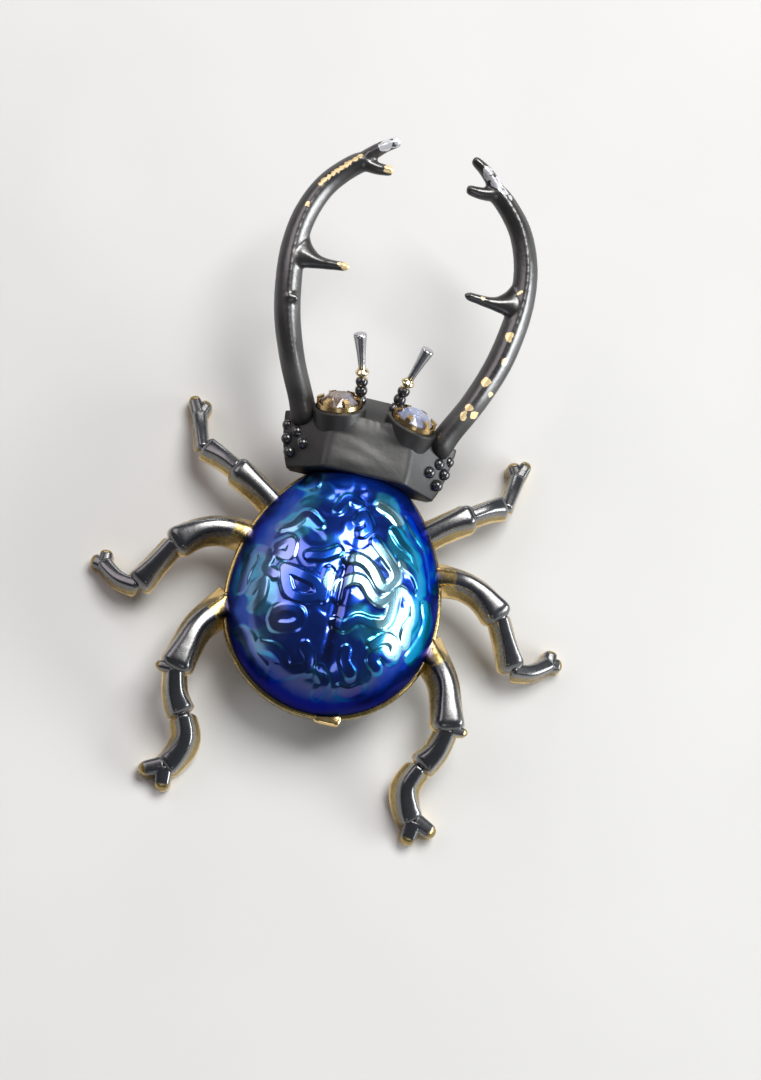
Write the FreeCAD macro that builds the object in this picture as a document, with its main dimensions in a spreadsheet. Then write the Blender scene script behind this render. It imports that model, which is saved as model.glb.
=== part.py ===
import FreeCAD, Part
import Mesh
import Sketcher
import math
import os

# Stag beetle brooch in millimetres. +Z is up, +Y runs towards the jaws, +X is the beetle's right.
# The origin is the middle of the whole outline, on the surface that the six feet stand on.

doc = FreeCAD.newDocument("insect_brooch")

# Driving dimensions
SIZES = {
    "plate_base": 4.0,
    "plate_thick": 1.2,
    "rim_lip": 0.3,
    "ground_size": 70.0,
    "rear_radius": 8.55,
    "rear_centre": -10.5,
    "flank_radius": 14.0,
    "nose_radius": 6.2,
    "nose_centre": -4.3,
    "tab_width": 2.6,
    "tab_reach": 0.4,
    "tab_side": 1.5,
    "tongue_width": 8.0,
    "tongue_reach": 4.0,
    "piece_gap": 0.1,
    "dome_centre": -10.0,
    "dome_height": 7.2,
    "dome_wall": 1.1,
    "vein_height": 0.22,
    "vein_spacing": 2.1,
    "seam_depth": 0.3,
    "seam_width": 0.55,
    "limb_arch": 0.3,
    "jaw_arch": 0.6,
    "cup_radius": 1.85,
    "cup_wall": 0.2,
    "cup_height": 1.5,
    "cup_floor": 0.35,
    "cup_tilt": 55.0,
    "cup_turn": 15.0,
    "cup_side": 2.85,
    "cup_front": 4.75,
    "cup_level": 8.0,
    "socket_wall": 0.35,
    "socket_rise": 0.95,
    "socket_depth": 1.0,
    "claw_width": 0.42,
    "claw_thick": 0.2,
    "claw_reach": 0.32,
    "claw_rise": 0.36,
    "claw_sunk": 0.3,
    "claw_count": 6,
    "stone_radius": 1.58,
    "stone_table": 0.95,
    "stone_crown": 0.62,
    "stone_girdle": 0.14,
    "stone_depth": 0.78,
    "stone_sunk": 0.15,
    "granule_radius": 0.5,
    "bead_radius": 0.52,
    "club_root": 0.28,
    "club_end": 0.5,
    "ring_radius": 0.42,
    "ring_wire": 0.14,
    "bar_length": 19.0,
    "bar_width": 3.0,
    "bar_thick": 0.6,
    "bar_middle": -8.9,
    "stem_radius": 0.4,
    "stem_level": 1.55,
    "point_length": 1.2,
    "point_radius": 0.08,
    "block_length": 2.4,
    "block_width": 1.8,
    "block_inset": 0.3,
    "catch_radius": 1.05,
    "catch_wall": 0.4,
    "catch_length": 1.8,
    "catch_bore": 0.9,
    "catch_cap": 0.1,
    "catch_inset": 1.4,
    "stalk_width": 1.0,
}

sheet = doc.addObject("Spreadsheet::Sheet", "sizes")
for row, (alias, value) in enumerate(SIZES.items(), start=1):
    sheet.set(f"A{row}", alias)
    sheet.set(f"B{row}", str(value))
    sheet.setAlias(f"B{row}", alias)
doc.recompute()


def size(alias):
    """A driving dimension, read from the sheet."""
    return float(sheet.get(alias))


def plane(body, role):
    """An origin plane of a body, found by its role."""
    return next(item for item in body.Origin.OriginFeatures if item.Role == role)


def feature(name, shape):
    """A named document object that holds a shape worked out from the sheet."""
    item = doc.addObject("Part::Feature", name)
    item.Shape = shape
    return item


# Stations along the limbs. Every row is a cross-section: where it stands on the beetle's right
# side, its top and underside, and its width at the top and at the base of the drafted sides.
# The feet reach a hair below the floor, and are then ground off flat on it.
FRONT_LEG = {
    "femur": [
        dict(x=5.4, y=-3.3, top=5.5, under=4.1, crown=1.8, foot=3.0),
        dict(x=7.0, y=-2.0, top=5.8, under=3.7, crown=1.5, foot=2.5),
        dict(x=8.6, y=-0.9, top=6.0, under=3.6, crown=1.3, foot=2.4),
        dict(x=10.2, y=0.1, top=6.0, under=3.6, crown=1.6, foot=2.5),
    ],
    "tibia": [
        dict(x=9.8, y=-0.15, top=5.6, under=3.7, crown=1.0, foot=1.8),
        dict(x=11.4, y=0.9, top=5.1, under=2.9, crown=1.2, foot=1.9),
        dict(x=12.9, y=1.75, top=4.2, under=2.0, crown=1.4, foot=2.0),
    ],
    "tarsus": [
        dict(x=12.9, y=1.35, top=3.8, under=1.8, crown=1.0, foot=1.4),
        dict(x=13.4, y=3.4, top=3.1, under=0.7, crown=1.1, foot=1.4),
        dict(x=13.8, y=5.1, top=2.2, under=-0.05, crown=1.2, foot=1.5),
    ],
    "outer claw": [
        dict(x=13.75, y=4.7, top=1.9, under=-0.05, crown=0.9, foot=1.2),
        dict(x=14.5, y=6.4, top=1.5, under=-0.05, crown=0.7, foot=0.95),
    ],
    "inner claw": [
        dict(x=13.75, y=4.7, top=1.9, under=-0.05, crown=0.9, foot=1.2),
        dict(x=13.1, y=6.1, top=1.5, under=-0.05, crown=0.7, foot=0.95),
    ],
}
MIDDLE_LEG = {
    "femur": [
        dict(x=7.0, y=-5.8, top=5.5, under=4.1, crown=2.0, foot=3.1),
        dict(x=9.7, y=-5.6, top=6.2, under=3.7, crown=1.6, foot=2.6),
        dict(x=11.4, y=-6.05, top=6.4, under=3.9, crown=1.5, foot=2.5),
        dict(x=12.7, y=-6.9, top=6.4, under=4.0, crown=1.6, foot=2.5),
        dict(x=13.9, y=-8.0, top=6.3, under=3.9, crown=2.1, foot=2.8),
    ],
    "tibia": [
        dict(x=13.6, y=-7.6, top=5.9, under=3.9, crown=1.2, foot=2.0),
        dict(x=14.85, y=-9.7, top=5.0, under=2.8, crown=1.3, foot=2.1),
        dict(x=15.95, y=-11.5, top=4.1, under=1.7, crown=1.7, foot=2.4),
    ],
    "tarsus": [
        dict(x=15.6, y=-11.45, top=3.7, under=1.6, crown=1.0, foot=1.7),
        dict(x=17.3, y=-11.1, top=3.1, under=0.9, crown=1.1, foot=1.6),
        dict(x=18.5, y=-10.3, top=2.5, under=0.3, crown=1.1, foot=1.5),
        dict(x=19.1, y=-9.6, top=2.1, under=-0.05, crown=1.1, foot=1.4),
    ],
    "outer claw": [
        dict(x=18.8, y=-10.0, top=1.9, under=-0.05, crown=0.9, foot=1.2),
        dict(x=20.1, y=-9.75, top=1.5, under=-0.05, crown=0.7, foot=0.95),
    ],
    "inner claw": [
        dict(x=18.9, y=-9.9, top=1.9, under=-0.05, crown=0.9, foot=1.2),
        dict(x=18.95, y=-8.7, top=1.6, under=-0.05, crown=0.7, foot=0.95),
    ],
}
HIND_LEG = {
    "femur": [
        dict(x=8.0, y=-11.3, top=5.4, under=4.1, crown=2.1, foot=3.2),
        dict(x=10.1, y=-13.7, top=6.2, under=3.7, crown=1.6, foot=2.7),
        dict(x=10.9, y=-16.1, top=6.4, under=4.0, crown=1.7, foot=2.6),
        dict(x=11.4, y=-18.1, top=6.4, under=4.0, crown=2.2, foot=2.9),
    ],
    "spur": [
        dict(x=11.5, y=-17.8, top=5.9, under=4.3, crown=0.7, foot=1.1),
        dict(x=12.8, y=-17.8, top=5.5, under=4.7, crown=0.4, foot=0.6),
    ],
    "tibia": [
        dict(x=11.3, y=-17.7, top=5.9, under=3.9, crown=1.2, foot=2.0),
        dict(x=10.8, y=-19.6, top=5.1, under=2.9, crown=1.3, foot=2.1),
        dict(x=9.8, y=-21.1, top=4.4, under=2.0, crown=1.6, foot=2.4),
    ],
    "metatarsus": [
        dict(x=9.9, y=-20.8, top=4.0, under=1.9, crown=1.2, foot=2.2),
        dict(x=9.2, y=-22.7, top=3.4, under=1.1, crown=1.4, foot=2.5),
        dict(x=9.7, y=-24.3, top=2.8, under=0.4, crown=1.5, foot=2.3),
        dict(x=10.5, y=-25.4, top=2.2, under=-0.05, crown=1.5, foot=2.0),
    ],
    "outer claw": [
        dict(x=10.4, y=-25.1, top=2.0, under=-0.05, crown=0.9, foot=1.2),
        dict(x=12.4, y=-25.9, top=1.6, under=-0.05, crown=0.7, foot=0.95),
    ],
    "inner claw": [
        dict(x=10.4, y=-25.2, top=2.0, under=-0.05, crown=0.9, foot=1.2),
        dict(x=10.15, y=-27.25, top=1.5, under=-0.05, crown=0.7, foot=0.95),
    ],
}
JAW = {
    "beam": [
        dict(x=5.3, y=3.6, top=8.6, under=6.0, crown=2.2, foot=2.4),
        dict(x=6.2, y=5.7, top=9.1, under=6.8, crown=1.9, foot=2.1),
        dict(x=7.6, y=8.4, top=10.1, under=8.0, crown=1.8, foot=2.1),
        dict(x=8.8, y=11.6, top=11.0, under=8.9, crown=1.9, foot=2.2),
        dict(x=9.4, y=14.6, top=11.8, under=9.7, crown=1.9, foot=2.2),
        dict(x=9.6, y=17.3, top=12.3, under=10.3, crown=1.8, foot=2.1),
        dict(x=9.25, y=20.0, top=12.8, under=10.9, crown=1.7, foot=2.0),
        dict(x=8.2, y=22.5, top=13.3, under=11.5, crown=1.6, foot=1.9),
        dict(x=6.5, y=24.4, top=13.8, under=12.1, crown=1.5, foot=1.8),
        dict(x=4.8, y=25.5, top=14.2, under=12.6, crown=1.4, foot=1.7),
    ],
    "upper tine": [
        dict(x=5.6, y=25.2, top=14.1, under=12.7, crown=1.1, foot=1.3),
        dict(x=4.3, y=26.3, top=14.5, under=13.4, crown=0.8, foot=0.9),
        dict(x=3.0, y=27.1, top=14.7, under=14.0, crown=0.4, foot=0.5),
    ],
    "lower tine": [
        dict(x=5.9, y=24.9, top=13.9, under=12.5, crown=1.0, foot=1.2),
        dict(x=4.4, y=24.6, top=13.9, under=12.9, crown=0.8, foot=0.9),
        dict(x=3.0, y=24.6, top=13.9, under=13.3, crown=0.4, foot=0.5),
    ],
    "tooth": [
        dict(x=9.2, y=16.7, top=12.1, under=10.6, crown=3.6, foot=3.8),
        dict(x=8.4, y=16.45, top=12.1, under=10.8, crown=2.0, foot=2.2),
        dict(x=7.4, y=16.2, top=12.15, under=11.1, crown=0.9, foot=1.0),
        dict(x=6.2, y=16.15, top=12.3, under=11.5, crown=0.6, foot=0.7),
        dict(x=4.7, y=16.2, top=12.4, under=11.8, crown=0.4, foot=0.5),
    ],
}

# How far each limb was bent by hand, in degrees about its root, left and right
LEG_SWING = {"left": -3.0, "right": 3.0}

# Cast balls on the head's side slopes, and the beads and club of a feeler, on the right side
GRANULES = [
    dict(x=6.75, y=3.7, z=6.5),
    dict(x=5.95, y=3.1, z=7.3),
    dict(x=5.3, y=2.1, z=7.8),
    dict(x=6.6, y=2.5, z=6.7),
    dict(x=6.2, y=1.4, z=6.9),
]
FEELER_BEADS = [
    dict(x=1.5, y=6.7, z=8.1),
    dict(x=1.62, y=7.3, z=8.75),
    dict(x=1.75, y=7.85, z=9.4),
]
CLUB_FROM = dict(x=1.8, y=8.15, z=9.8)
CLUB_TO = dict(x=2.85, y=10.9, z=12.2)

SIDES = {"left": -1, "right": 1}
UP = FreeCAD.Vector(0, 0, 1)


def limb_section(row, heading, arch, round_under):
    """A closed wire across a limb: drafted sides, an arched top, and a flat or arched underside."""
    spot = FreeCAD.Vector(row["x"], row["y"], 0)
    across = FreeCAD.Vector(heading.y, -heading.x, 0).normalize()

    def corner(offset, height):
        return spot + across * offset + UP * height

    foot = row["foot"] / 2
    crown = row["crown"] / 2
    arch = min(arch, 0.35 * (row["top"] - row["under"]))
    low = row["under"] + (arch if round_under else 0)
    low_left = corner(-foot, low)
    low_right = corner(foot, low)
    high_right = corner(crown, row["top"] - arch)
    high_left = corner(-crown, row["top"] - arch)
    underside = Part.LineSegment(low_left, low_right)
    if round_under:
        underside = Part.Arc(low_left, corner(0, row["under"]), low_right)
    edges = [
        underside,
        Part.LineSegment(low_right, high_right),
        Part.Arc(high_right, corner(0, row["top"]), high_left),
        Part.LineSegment(high_left, low_left),
    ]
    return Part.Wire([edge.toShape() for edge in edges])


def limb_shape(segments, side, arch, round_under=False, swing=0.0):
    """The segments of a limb as lofts through their stations, fused into one solid."""
    pivot = FreeCAD.Vector(*[next(iter(segments.values()))[0][axis] for axis in ("x", "y")], 0)
    turn = FreeCAD.Rotation(UP, swing)
    lofts = []
    for rows in segments.values():
        placed = []
        for row in rows:
            spot = pivot + turn.multVec(FreeCAD.Vector(row["x"], row["y"], 0) - pivot)
            placed.append(dict(row, x=spot.x * side, y=spot.y))
        wires = []
        for index, row in enumerate(placed):
            before = placed[max(index - 1, 0)]
            after = placed[min(index + 1, len(placed) - 1)]
            heading = FreeCAD.Vector(after["x"] - before["x"], after["y"] - before["y"], 0)
            wires.append(limb_section(row, heading, arch, round_under))
        lofts.append(Part.makeLoft(wires, True, len(wires) == 2))
    return lofts[0].fuse(lofts[1:])


def egg_radius(angle, grow=0.0):
    """How far the egg outline of the body is from the dome's centre in one direction."""
    rear = size("rear_radius") + grow
    flank = size("flank_radius") + grow
    nose = size("nose_radius") + grow
    rear_y = size("rear_centre")
    nose_y = size("nose_centre")
    flank_x, flank_y = flank_centre()
    ray = FreeCAD.Vector(abs(math.cos(angle)), math.sin(angle), 0)
    start = FreeCAD.Vector(0, size("dome_centre"), 0)
    circles = [(0.0, rear_y, rear), (flank_x, flank_y, flank), (0.0, nose_y, nose)]
    hits = []
    for x, y, radius in circles:
        offset = start - FreeCAD.Vector(x, y, 0)
        along = offset.dot(ray)
        gap = along * along - offset.dot(offset) + radius * radius
        hits.append(-along + math.sqrt(max(gap, 0.0)))
    reach = start + ray * hits[1]
    rear_join = math.atan2(rear_y - flank_y, 0 - flank_x)
    nose_join = math.atan2(nose_y - flank_y, 0 - flank_x)
    seen = math.atan2(reach.y - flank_y, reach.x - flank_x)
    if seen < rear_join:
        return hits[0]
    if seen > nose_join:
        return hits[2]
    return hits[1]


def flank_centre():
    """The centre of the flank arc, which touches the rear and the nose circles from outside."""
    rear_y = size("rear_centre")
    nose_y = size("nose_centre")
    to_rear = size("flank_radius") - size("rear_radius")
    to_nose = size("flank_radius") - size("nose_radius")
    apart = nose_y - rear_y
    along = (to_rear ** 2 - to_nose ** 2 + apart ** 2) / (2 * apart)
    return -math.sqrt(to_rear ** 2 - along ** 2), rear_y + along


# The egg outline is a sketch of four tangent arcs: a round rear, two flanks and a blunt nose.
def egg_sketch(body, name, grow_alias):
    """A constrained sketch of the egg outline, grown by one of the sheet's sizes."""
    sketch = body.newObject("Sketcher::SketchObject", name)
    sketch.AttachmentSupport = [(plane(body, "XY_Plane"), "")]
    sketch.MapMode = "FlatFace"
    grow = size(grow_alias)
    flank_x, flank_y = flank_centre()
    rear_y = size("rear_centre")
    nose_y = size("nose_centre")
    rear_turn = math.atan2(rear_y - flank_y, -flank_x)
    nose_turn = math.atan2(nose_y - flank_y, -flank_x)
    arcs = [
        (0.0, rear_y, size("rear_radius") + grow, math.pi - rear_turn, 2 * math.pi + rear_turn),
        (flank_x, flank_y, size("flank_radius") + grow, rear_turn, nose_turn),
        (0.0, nose_y, size("nose_radius") + grow, nose_turn, math.pi - nose_turn),
        (-flank_x, flank_y, size("flank_radius") + grow, math.pi - nose_turn, math.pi - rear_turn),
    ]
    for x, y, radius, first, last in arcs:
        circle = Part.Circle(FreeCAD.Vector(x, y, 0), UP, radius)
        sketch.addGeometry(Part.ArcOfCircle(circle, first, last), False)
    for index in range(4):
        sketch.addConstraint(Sketcher.Constraint("Tangent", index, 2, (index + 1) % 4, 1))
    radii = ["rear_radius", "flank_radius", "nose_radius", "flank_radius"]
    for index, alias in enumerate(radii):
        number = sketch.addConstraint(Sketcher.Constraint("Radius", index, arcs[index][2]))
        sketch.setExpression(f"Constraints[{number}]", f"<<sizes>>.{alias} + <<sizes>>.{grow_alias}")
    for index, alias in ((0, "rear_centre"), (2, "nose_centre")):
        sketch.addConstraint(Sketcher.Constraint("PointOnObject", index, 3, -2))
        number = sketch.addConstraint(
            Sketcher.Constraint("DistanceY", index, 3, -1, 1, -arcs[index][1])
        )
        sketch.setExpression(f"Constraints[{number}]", f"-<<sizes>>.{alias}")
    return sketch


def strip_sketch(body, name, width_alias, start, end):
    """A rectangle centred on its own plane's middle line, from one place to another along it."""
    sketch = body.newObject("Sketcher::SketchObject", name)
    sketch.AttachmentSupport = [(plane(body, "XY_Plane"), "")]
    sketch.MapMode = "FlatFace"
    half = size(width_alias) / 2
    corners = [(-half, start), (half, start), (half, end), (-half, end)]
    for index, (x, y) in enumerate(corners):
        after_x, after_y = corners[(index + 1) % 4]
        line = Part.LineSegment(FreeCAD.Vector(x, y, 0), FreeCAD.Vector(after_x, after_y, 0))
        sketch.addGeometry(line, False)
    for index in range(4):
        sketch.addConstraint(Sketcher.Constraint("Coincident", index, 2, (index + 1) % 4, 1))
    sketch.addConstraint(Sketcher.Constraint("Horizontal", 2))
    for index in (1, 3):
        sketch.addConstraint(Sketcher.Constraint("Vertical", index))
    sketch.addConstraint(Sketcher.Constraint("Symmetric", 0, 1, 0, 2, -2))
    number = sketch.addConstraint(Sketcher.Constraint("DistanceX", 0, 1, 0, 2, 2 * half))
    sketch.setExpression(f"Constraints[{number}]", f"<<sizes>>.{width_alias}")
    sketch.addConstraint(Sketcher.Constraint("DistanceY", 0, 1, -1, 1, -start))
    sketch.addConstraint(Sketcher.Constraint("DistanceY", -1, 1, 2, 1, end))
    return sketch


# Leg frame: a gold plated casting, the egg-shaped base plate with its six lacquered legs
plate = doc.addObject("PartDesign::Body", "base_plate")
egg = egg_sketch(plate, "plate_outline", "rim_lip")
rear_end = size("rear_centre") - size("rear_radius") - size("rim_lip")
nose_end = size("nose_centre") + size("nose_radius") + size("rim_lip")
overlap = 3.0
tab_start = rear_end - size("tab_reach")
strips = [
    egg,
    strip_sketch(plate, "rear_tab", "tab_width", tab_start, rear_end + overlap),
    strip_sketch(plate, "head_tongue", "tongue_width", nose_end - overlap, size("tongue_reach")),
]
for strip in strips:
    pad = plate.newObject("PartDesign::Pad", strip.Name + "_pad")
    pad.Profile = strip
    pad.setExpression("Length", "<<sizes>>.plate_thick")
    strip.setExpression("AttachmentOffset.Base.z", "<<sizes>>.plate_base")
strips[1].setExpression("AttachmentOffset.Base.x", "<<sizes>>.tab_side")
doc.recompute()

frame_parts = [plate]
for leg_name, leg in (("front", FRONT_LEG), ("middle", MIDDLE_LEG), ("hind", HIND_LEG)):
    for side_name, side in SIDES.items():
        swing = LEG_SWING[side_name] if leg_name == "front" else 0.0
        shape = limb_shape(leg, side, size("limb_arch"), swing=swing)
        frame_parts.append(feature(f"{leg_name}_leg_{side_name}", shape))
gold_casting = doc.addObject("Part::MultiFuse", "gold_casting")
gold_casting.Shapes = frame_parts

# The leg roots rise above the plate and end in a wall round the dome's seat
seat_body = doc.addObject("PartDesign::Body", "dome_seat")
seat_outline = egg_sketch(seat_body, "seat_outline", "piece_gap")
seat_outline.setExpression("AttachmentOffset.Base.z", "<<sizes>>.plate_base + <<sizes>>.plate_thick")
seat_pad = seat_body.newObject("PartDesign::Pad", "seat_pad")
seat_pad.Profile = seat_outline
seat_pad.setExpression("Length", "<<sizes>>.plate_thick")
doc.recompute()
ground = doc.addObject("Part::Box", "ground")
ground.setExpression("Length", "<<sizes>>.ground_size")
ground.setExpression("Width", "<<sizes>>.ground_size")
ground.setExpression("Height", "<<sizes>>.plate_thick")
ground_corner = -size("ground_size") / 2
ground.Placement.Base = FreeCAD.Vector(ground_corner, ground_corner, -size("plate_thick"))
trims = doc.addObject("Part::MultiFuse", "trims")
trims.Shapes = [seat_body, ground]
leg_frame = doc.addObject("Part::Cut", "leg_frame")
leg_frame.Base = gold_casting
leg_frame.Tool = trims
leg_frame.Refine = False
leg_frame.Label = "leg_frame"


# Wing case: the enamelled dome, a thin hollow casting with raised winding veins
DOME_SHOULDER = 2.4
DOME_FULLNESS = 0.55
VEIN_WAVES = 9
VEIN_SPREAD = 0.2
VEIN_STEEPNESS = 0.7
GOLDEN_ANGLE = 2.4
RIM_FADE = 1 / 12
AROUND = 96
OUTER_RINGS = 30
INNER_RINGS = 7
CLEAR_AROUND = 48
CLEAR_RINGS = 9


def dome_level(share, height):
    """The height of the smooth dome at a share of the way from its centre to its rim."""
    return height * (1 - min(share, 1.0) ** DOME_SHOULDER) ** DOME_FULLNESS


def vein_relief(x, y):
    """Winding veins: plane waves of nearly one spacing, unevenly turned, added and flattened."""
    total = 0.0
    for wave in range(VEIN_WAVES):
        heading = GOLDEN_ANGLE * wave
        spacing = size("vein_spacing") * (1 + VEIN_SPREAD * math.sin(1.7 * wave))
        along = x * math.cos(heading) + y * math.sin(heading)
        total += math.cos(2 * math.pi * along / spacing + wave * wave)
    return math.tanh(VEIN_STEEPNESS * total)


def dome_point(share, angle, grow, height, relief):
    """A point of the dome, at a share of the way from its centre to the egg outline."""
    reach = egg_radius(angle, grow) * share
    x = reach * math.cos(angle)
    y = size("dome_centre") + reach * math.sin(angle)
    z = dome_level(share, height)
    if relief:
        fade = min(1.0, (1 - share) / RIM_FADE)
        seam = math.exp(-((x / size("seam_width")) ** 2)) * size("seam_depth")
        z += fade * (size("vein_height") * vein_relief(x, y) - seam)
    level = size("plate_base") + size("plate_thick") + size("piece_gap")
    return FreeCAD.Vector(x, y, level + max(z, 0.0))


def dome_rings(around, rings, grow, height, relief):
    """Rings of points from the rim to the crown of the dome, closer together at the rim."""
    rows = []
    for ring in range(rings):
        share = 1 - (ring / rings) ** 1.2
        turns = [2 * math.pi * step / around for step in range(around)]
        rows.append([dome_point(share, angle, grow, height, relief) for angle in turns])
    rows.append([dome_point(0.0, 0.0, grow, height, relief)])
    return rows


def ring_facets(rows, outward):
    """Triangles between rings of points, closed on the last single point."""
    facets = []
    for low, high in zip(rows, rows[1:]):
        count = len(low)
        for step in range(count):
            after = (step + 1) % count
            if len(high) == 1:
                corners = [(low[step], low[after], high[0])]
            else:
                corners = [
                    (low[step], low[after], high[after]),
                    (low[step], high[after], high[step]),
                ]
            for facet in corners:
                facets.append(facet if outward else facet[::-1])
    return facets


def faceted_solid(facets):
    """A closed solid from triangles that share their corners."""
    mesh = Mesh.Mesh([list(facet) for facet in facets])
    shell = Part.Shape()
    shell.makeShapeFromMesh(mesh.Topology, 0.001)
    solid = Part.Solid(Part.Shell(shell.Faces))
    if solid.Volume < 0:
        solid.reverse()
    return solid


outer = dome_rings(AROUND, OUTER_RINGS, 0.0, size("dome_height"), True)
hollow = size("dome_height") - size("dome_wall")
inner = dome_rings(AROUND, INNER_RINGS, -size("dome_wall"), hollow, False)
facets = ring_facets(outer, True) + ring_facets(inner, False)
for step in range(AROUND):
    after = (step + 1) % AROUND
    facets.append((outer[0][after], outer[0][step], inner[0][step]))
    facets.append((outer[0][after], inner[0][step], inner[0][after]))
wing_case = feature("wing_case", faceted_solid(facets))
wing_case.Label = "wing_case"

# The space that the head keeps clear of, a little larger than the dome and closed below
cover = size("piece_gap") + size("vein_height")
clear_rows = dome_rings(CLEAR_AROUND, CLEAR_RINGS, cover, size("dome_height") + cover, False)
lower = size("plate_base")
floor_row = [FreeCAD.Vector(point.x, point.y, lower) for point in clear_rows[0]]
floor_middle = [FreeCAD.Vector(0, size("dome_centre"), lower)]
clear_facets = ring_facets([floor_row] + clear_rows, True)
clear_facets += ring_facets([floor_row, floor_middle], False)
dome_clearance = feature("dome_clearance", faceted_solid(clear_facets))

# Head and jaws: one blackened casting with the feelers and the balls on its side slopes
HEAD = [
    dict(y=0.6, low=5.3, low_half=6.0, side=6.2, side_half=6.4, top=9.6, top_half=3.4),
    dict(y=2.6, low=5.3, low_half=6.6, side=6.4, side_half=7.0, top=9.7, top_half=3.3),
    dict(y=4.9, low=5.4, low_half=6.9, side=6.6, side_half=7.3, top=9.2, top_half=3.1),
]
FACE = [
    dict(y=4.6, low=5.5, low_half=5.4, side=6.4, side_half=5.6, top=8.9, top_half=3.4),
    dict(y=7.2, low=5.9, low_half=3.2, side=6.4, side_half=3.4, top=7.5, top_half=2.4),
]


def head_block(rows):
    """A block lofted through six-sided sections: a flat top between two sloping sides."""
    wires = []
    for row in rows:
        half = [
            (row["low_half"], row["low"]),
            (row["side_half"], row["side"]),
            (row["top_half"], row["top"]),
        ]
        corners = [(x, z) for x, z in half] + [(-x, z) for x, z in reversed(half)]
        points = [FreeCAD.Vector(x, row["y"], z) for x, z in corners]
        wires.append(Part.makePolygon(points + points[:1]))
    return Part.makeLoft(wires, True, True)


def cup_placement(side):
    """Where an eye sits: tilted forward from the vertical and turned a little outwards."""
    tilt = math.radians(size("cup_tilt"))
    turn = math.radians(size("cup_turn")) * side
    axis = FreeCAD.Vector(
        math.sin(tilt) * math.sin(turn),
        math.sin(tilt) * math.cos(turn),
        math.cos(tilt),
    )
    base = FreeCAD.Vector(size("cup_side") * side, size("cup_front"), size("cup_level"))
    return FreeCAD.Placement(base, FreeCAD.Rotation(UP, axis))


casting_parts = [feature("head_block", head_block(HEAD)), feature("face_block", head_block(FACE))]
for side_name, side in SIDES.items():
    jaw = feature(f"jaw_{side_name}", limb_shape(JAW, side, size("jaw_arch"), round_under=True))
    casting_parts.append(jaw)
    for number, spot in enumerate(GRANULES):
        ball = doc.addObject("Part::Sphere", f"granule_{side_name}_{number}")
        ball.setExpression("Radius", "<<sizes>>.granule_radius")
        ball.Placement.Base = FreeCAD.Vector(spot["x"] * side, spot["y"], spot["z"])
        casting_parts.append(ball)
    for number, spot in enumerate(FEELER_BEADS):
        bead = doc.addObject("Part::Sphere", f"feeler_bead_{side_name}_{number}")
        bead.setExpression("Radius", "<<sizes>>.bead_radius")
        bead.Placement.Base = FreeCAD.Vector(spot["x"] * side, spot["y"], spot["z"])
        casting_parts.append(bead)
    start = FreeCAD.Vector(CLUB_FROM["x"] * side, CLUB_FROM["y"], CLUB_FROM["z"])
    end = FreeCAD.Vector(CLUB_TO["x"] * side, CLUB_TO["y"], CLUB_TO["z"])
    lie = FreeCAD.Placement(start, FreeCAD.Rotation(UP, end - start))
    club = doc.addObject("Part::Cone", f"feeler_club_{side_name}")
    club.Height = (end - start).Length
    club.setExpression("Radius1", "<<sizes>>.club_root")
    club.setExpression("Radius2", "<<sizes>>.club_end")
    club.Placement = lie
    ring = doc.addObject("Part::Torus", f"feeler_ring_{side_name}")
    ring.setExpression("Radius1", "<<sizes>>.ring_radius")
    ring.setExpression("Radius2", "<<sizes>>.ring_wire")
    ring.Placement = FreeCAD.Placement(start + (end - start) * 0.12, lie.Rotation)
    socket = doc.addObject("Part::Cylinder", f"eye_socket_{side_name}")
    socket.setExpression("Radius", "<<sizes>>.cup_radius + <<sizes>>.socket_wall")
    socket.setExpression("Height", "<<sizes>>.socket_rise + <<sizes>>.socket_depth")
    seat = cup_placement(side)
    sunk = seat.Rotation.multVec(UP) * -size("socket_depth")
    socket.Placement = FreeCAD.Placement(seat.Base + sunk, seat.Rotation)
    casting_parts += [club, ring, socket]
casting = doc.addObject("Part::MultiFuse", "black_casting")
casting.Shapes = casting_parts


pocket_tools = [dome_clearance]
for side_name, side in SIDES.items():
    pocket = doc.addObject("Part::Cylinder", f"eye_pocket_{side_name}")
    pocket.setExpression("Radius", "<<sizes>>.cup_radius + <<sizes>>.piece_gap")
    pocket.setExpression("Height", "<<sizes>>.cup_height + 3 * <<sizes>>.piece_gap")
    seat = cup_placement(side)
    shift = seat.Rotation.multVec(UP) * -size("piece_gap")
    pocket.Placement = FreeCAD.Placement(seat.Base + shift, seat.Rotation)
    pocket_tools.append(pocket)
clearances = doc.addObject("Part::MultiFuse", "clearances")
clearances.Shapes = pocket_tools
head_and_jaws = doc.addObject("Part::Cut", "head_and_jaws")
head_and_jaws.Base = casting
head_and_jaws.Tool = clearances
head_and_jaws.Label = "head_and_jaws"


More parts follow.
